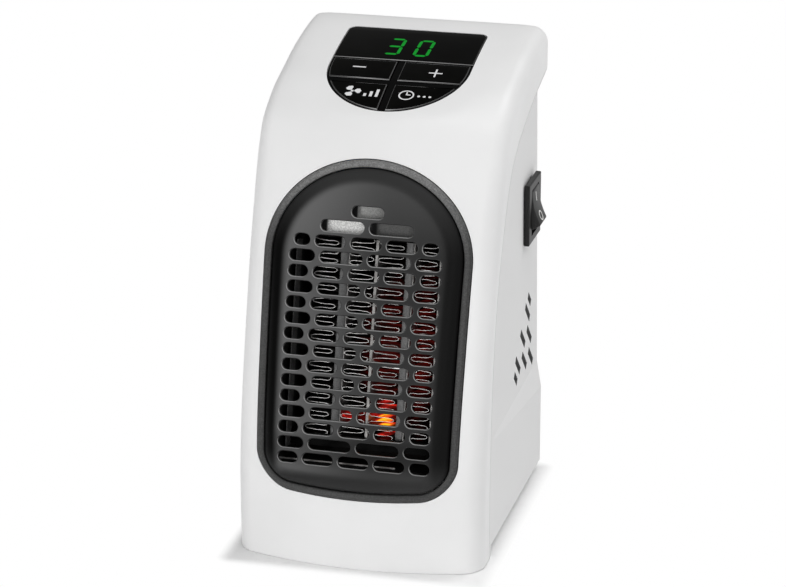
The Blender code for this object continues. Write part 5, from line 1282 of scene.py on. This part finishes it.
# Half of its side view: along the face, round the tip, and back round the pin
half_side = [(face_level(u), u) for u in [ROCKER_HALF * i / 13 for i in range(1, 13)]]
half_side += [(0.00680, 0.00616), (0.0067, 0.0063), (0.0064, 0.0064), (0.0036, 0.0072)]
half_side += arc_points((0, 0), 0.0045, math.radians(110), math.radians(180), 5)
rocker_side = [(ROCKER_HOLLOW, 0)] + half_side + [(out, -u) for out, u in half_side[-2::-1]]
side_view = rocker_place @ Matrix.Rotation(math.radians(90), 4, "X")
rocker_mesh = prism(rocker_side, -ROCKER_DEEP / 2, ROCKER_DEEP / 2, side_view)
rocker = new_piece("switch_rocker_cap", rocker_mesh)
round_edges(rocker, 0.0004, 3, 40)
settled(rocker)
shade(rocker.data, 30)
switch_black = grained_plastic("switch_black", grey(0.020), 0.42, 0.0003, 0.00001, 0.16)
switch_black.on(rocker)
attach(rocker, "switch_rocker")
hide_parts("rocker")


def on_rocker(y, u, lift):
    return rocker_place @ Vector((face_level(u) + lift, y, u))


def rocker_mark(polygons):
    """Flat marks that follow the rocker's face, from outlines across and along it."""
    work = bmesh.new()
    for polygon in polygons:
        rings = [[work.verts.new(on_rocker(y, u, lift)) for y, u in polygon] for lift in ROCKER_MARK]
        band(work, *rings)
        half = len(polygon) // 2
        for ring in rings:
            for i in range(half - 1):
                work.faces.new((ring[i], ring[i + 1], ring[-2 - i], ring[-1 - i]))
    return mesh_from(work)


heights = [0.0016 + i * 0.0004 for i in range(9)]
on_mark = [(-0.00036, u) for u in heights] + [(0.00036, u) for u in heights[::-1]]
off_mark = ring_halves((0, -0.0038), 0.00155, 0.0005)
marks = new_piece("rocker_marks", rocker_mark([on_mark, *off_mark]))
switch_white = Coat("switch_print", Roughness=0.5, Specular_IOR_Level=0.2)
worn = switch_white.noise(0.0006, 3)
switch_white.set(Base_Color=worn.ramp(0.2, 0.8).mix((0.66, 0.66, 0.65), (0.80, 0.80, 0.78)))
switch_white.on(marks)
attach(marks, "switch_rocker")
bezel_black = grained_plastic("bezel_black", grey(0.014), 0.40, 0.0003, 0.00001, 0.16)
dress(bezel_black, "switch_case", edge=0.0002)

# Fan and small parts inside: black nylon and phenolic mouldings, which hold the motor,
# the cutout and the plug's contacts.
inner_black = grained_plastic("inner_black", (0.012, 0.012, 0.013), 0.45)
dress(inner_black, "fan_frame", edge=0.0002)
dress(inner_black, *(f"tact_switch_{name}" for name in KEYS), "fan_rotor", "digit_module")
dress(inner_black, "thermal_cutout", "contact_carrier", "smoothing_capacitor")

# Plug: a white moulding that turns in the rear wall, with two nickel-plated brass pins.
# Brass rings behind it rub on sprung contacts.
dress(housing_white, "plug_body", edge=0.0004, segments=3)
pin_nickel = metal("pin_nickel", (0.60, 0.59, 0.57), (0.74, 0.73, 0.71), 0.18, size=0.003)
contact_brass = metal("contact_brass", (0.50, 0.34, 0.12), (0.70, 0.52, 0.22), 0.30)
dress(pin_nickel, "plug_pin_left", "plug_pin_right", edge=0.0002)
dress(contact_brass, "slip_ring_inner", "slip_ring_outer", "contact_brush_inner")
dress(contact_brass, "contact_brush_outer", "switch_terminal_line", "switch_terminal_load")

# Boards: glass-fibre sheet under green solder mask, with the relay and the suppression
# capacitor soldered to the large one. Leads of black PVC run from the plug and switch.
board_green = Coat("solder_mask", Specular_IOR_Level=0.4)
cells = {"Vector": board_green.place, "Scale": 320.0}
tracks = board_green.node("ShaderNodeTexVoronoi", {"distance": "CHEBYCHEV"}, cells)
tracks = tracks.ramp(0.35, 0.38)
board_green.set(
    Base_Color=tracks.mix((0.006, 0.06, 0.02), (0.012, 0.11, 0.035)),
    Roughness=0.35 + board_green.noise(0.0004, 2) * 0.15,
    Normal=board_green.bump(tracks, 0.00003),
)
dress(board_green, "display_board", "control_board")
dress(grained_plastic("relay_blue", (0.02, 0.07, 0.30), 0.4, 0.0004, 0.00001, 0.4), "relay")
capacitor_yellow = grained_plastic("capacitor_yellow", (0.50, 0.30, 0.02), 0.35, 0.0006, 0.00001, 0.4)
dress(capacitor_yellow, "film_capacitor")
sheath_black = grained_plastic("sheath_black", grey(0.008), 0.4, 0.0006, 0.00002, 0.4)
dress(sheath_black, "lead_plug_to_switch", "lead_plug_to_board")
dress(sheath_black, "lead_switch_to_board", "lead_board_to_cutout")
dress(metal("winding_copper", (0.45, 0.16, 0.06), (0.70, 0.30, 0.13), 0.35), "fan_stator")

# Screws: zinc-plated steel self-tappers, sunk in the rear wall's four holes, and the
# fan's ground steel shaft.
bright_steel = metal("bright_steel", grey(0.45), (0.68, 0.68, 0.67), 0.28)
screws = [f"housing_screw_{number}" for number in range(1, 5)]
dress(bright_steel, "fan_shaft", *screws, edge=0.0001)

# Studio: a white sheet under the heater, which keeps its shadow and turns to plain white
# further out. Soft boxes stand at the left front and the right front, above and behind,
# and a weak one at the right.
floor = new_piece("studio_floor", grid_mesh([[(x, y, FOOT) for x in (-2, 2)] for y in (-2, 2)]))
paper = Coat("studio_paper", Specular_IOR_Level=0.0)
fibre = paper.noise(0.004, 2)
paper.set(Base_Color=fibre.ramp(0.2, 0.8).mix(grey(0.90), grey(0.93)), Roughness=0.9)
rays = [f"Is {ray} Ray" for ray in ("Camera", "Glossy", "Transmission")]
seen = sum(paper.node("ShaderNodeLightPath", {}, {}, output=ray) for ray in rays)
off_side = (abs(paper.place.part(0)) - (WIDTH / 2 - 0.0006)).at_least(0)
off_end = (abs(paper.place.part(1) + DEPTH / 2) - DEPTH / 2).at_least(0)
away = ((off_side**2 + off_end**2) ** 0.5).ramp(0.0, 0.006)
lit_paper = Shade(paper, paper.shader.outputs[0])
plain_white = paper.node("ShaderNodeEmission", {}, {})
fade = paper.node("ShaderNodeMixShader", {}, {0: away * seen, 1: lit_paper, 2: plain_white})
paper.feed(paper.tree.nodes["Material Output"].inputs[0], fade)
paper.on(floor)


def soft_light(name, size, place, aim, power):
    """A rectangular area light that faces a point."""
    lamp = bpy.data.lights.new(name, "AREA")
    lamp.shape = "RECTANGLE"
    lamp.size, lamp.size_y = size
    lamp.energy = power
    holder = new_piece(name, lamp)
    holder.location = place
    holder.rotation_euler = (Vector(aim) - Vector(place)).to_track_quat("-Z", "Y").to_euler()


soft_light("key_light", (0.20, 0.36), (-0.46, -1.14, 0.17), (0, -0.07, 0.0), 4.4)
soft_light("fill_light", (0.15, 0.5), (0.60, -1.15, 0.25), (0, -0.07, 0.0), 2.8)
soft_light("top_light", (0.3, 0.3), (0.18, -0.12, 0.62), (0, -0.05, 0.07), 0.9)
soft_light("rear_light", (0.4, 0.4), (0.50, 0.45, 0.85), (0, -0.05, 0.05), 3.0)
soft_light("side_light", (0.3, 1.0), (1.13, 0.10, 0.3), (0, -0.05, 0.02), 0.45)

world = bpy.data.worlds.new("studio")
bpy.context.scene.world = world
world.use_nodes = True
background = world.node_tree.nodes["Background"]
background.inputs["Color"].default_value = (1, 1, 1, 1)
background.inputs["Strength"].default_value = 0.4
bpy.context.scene.view_settings.view_transform = "Standard"
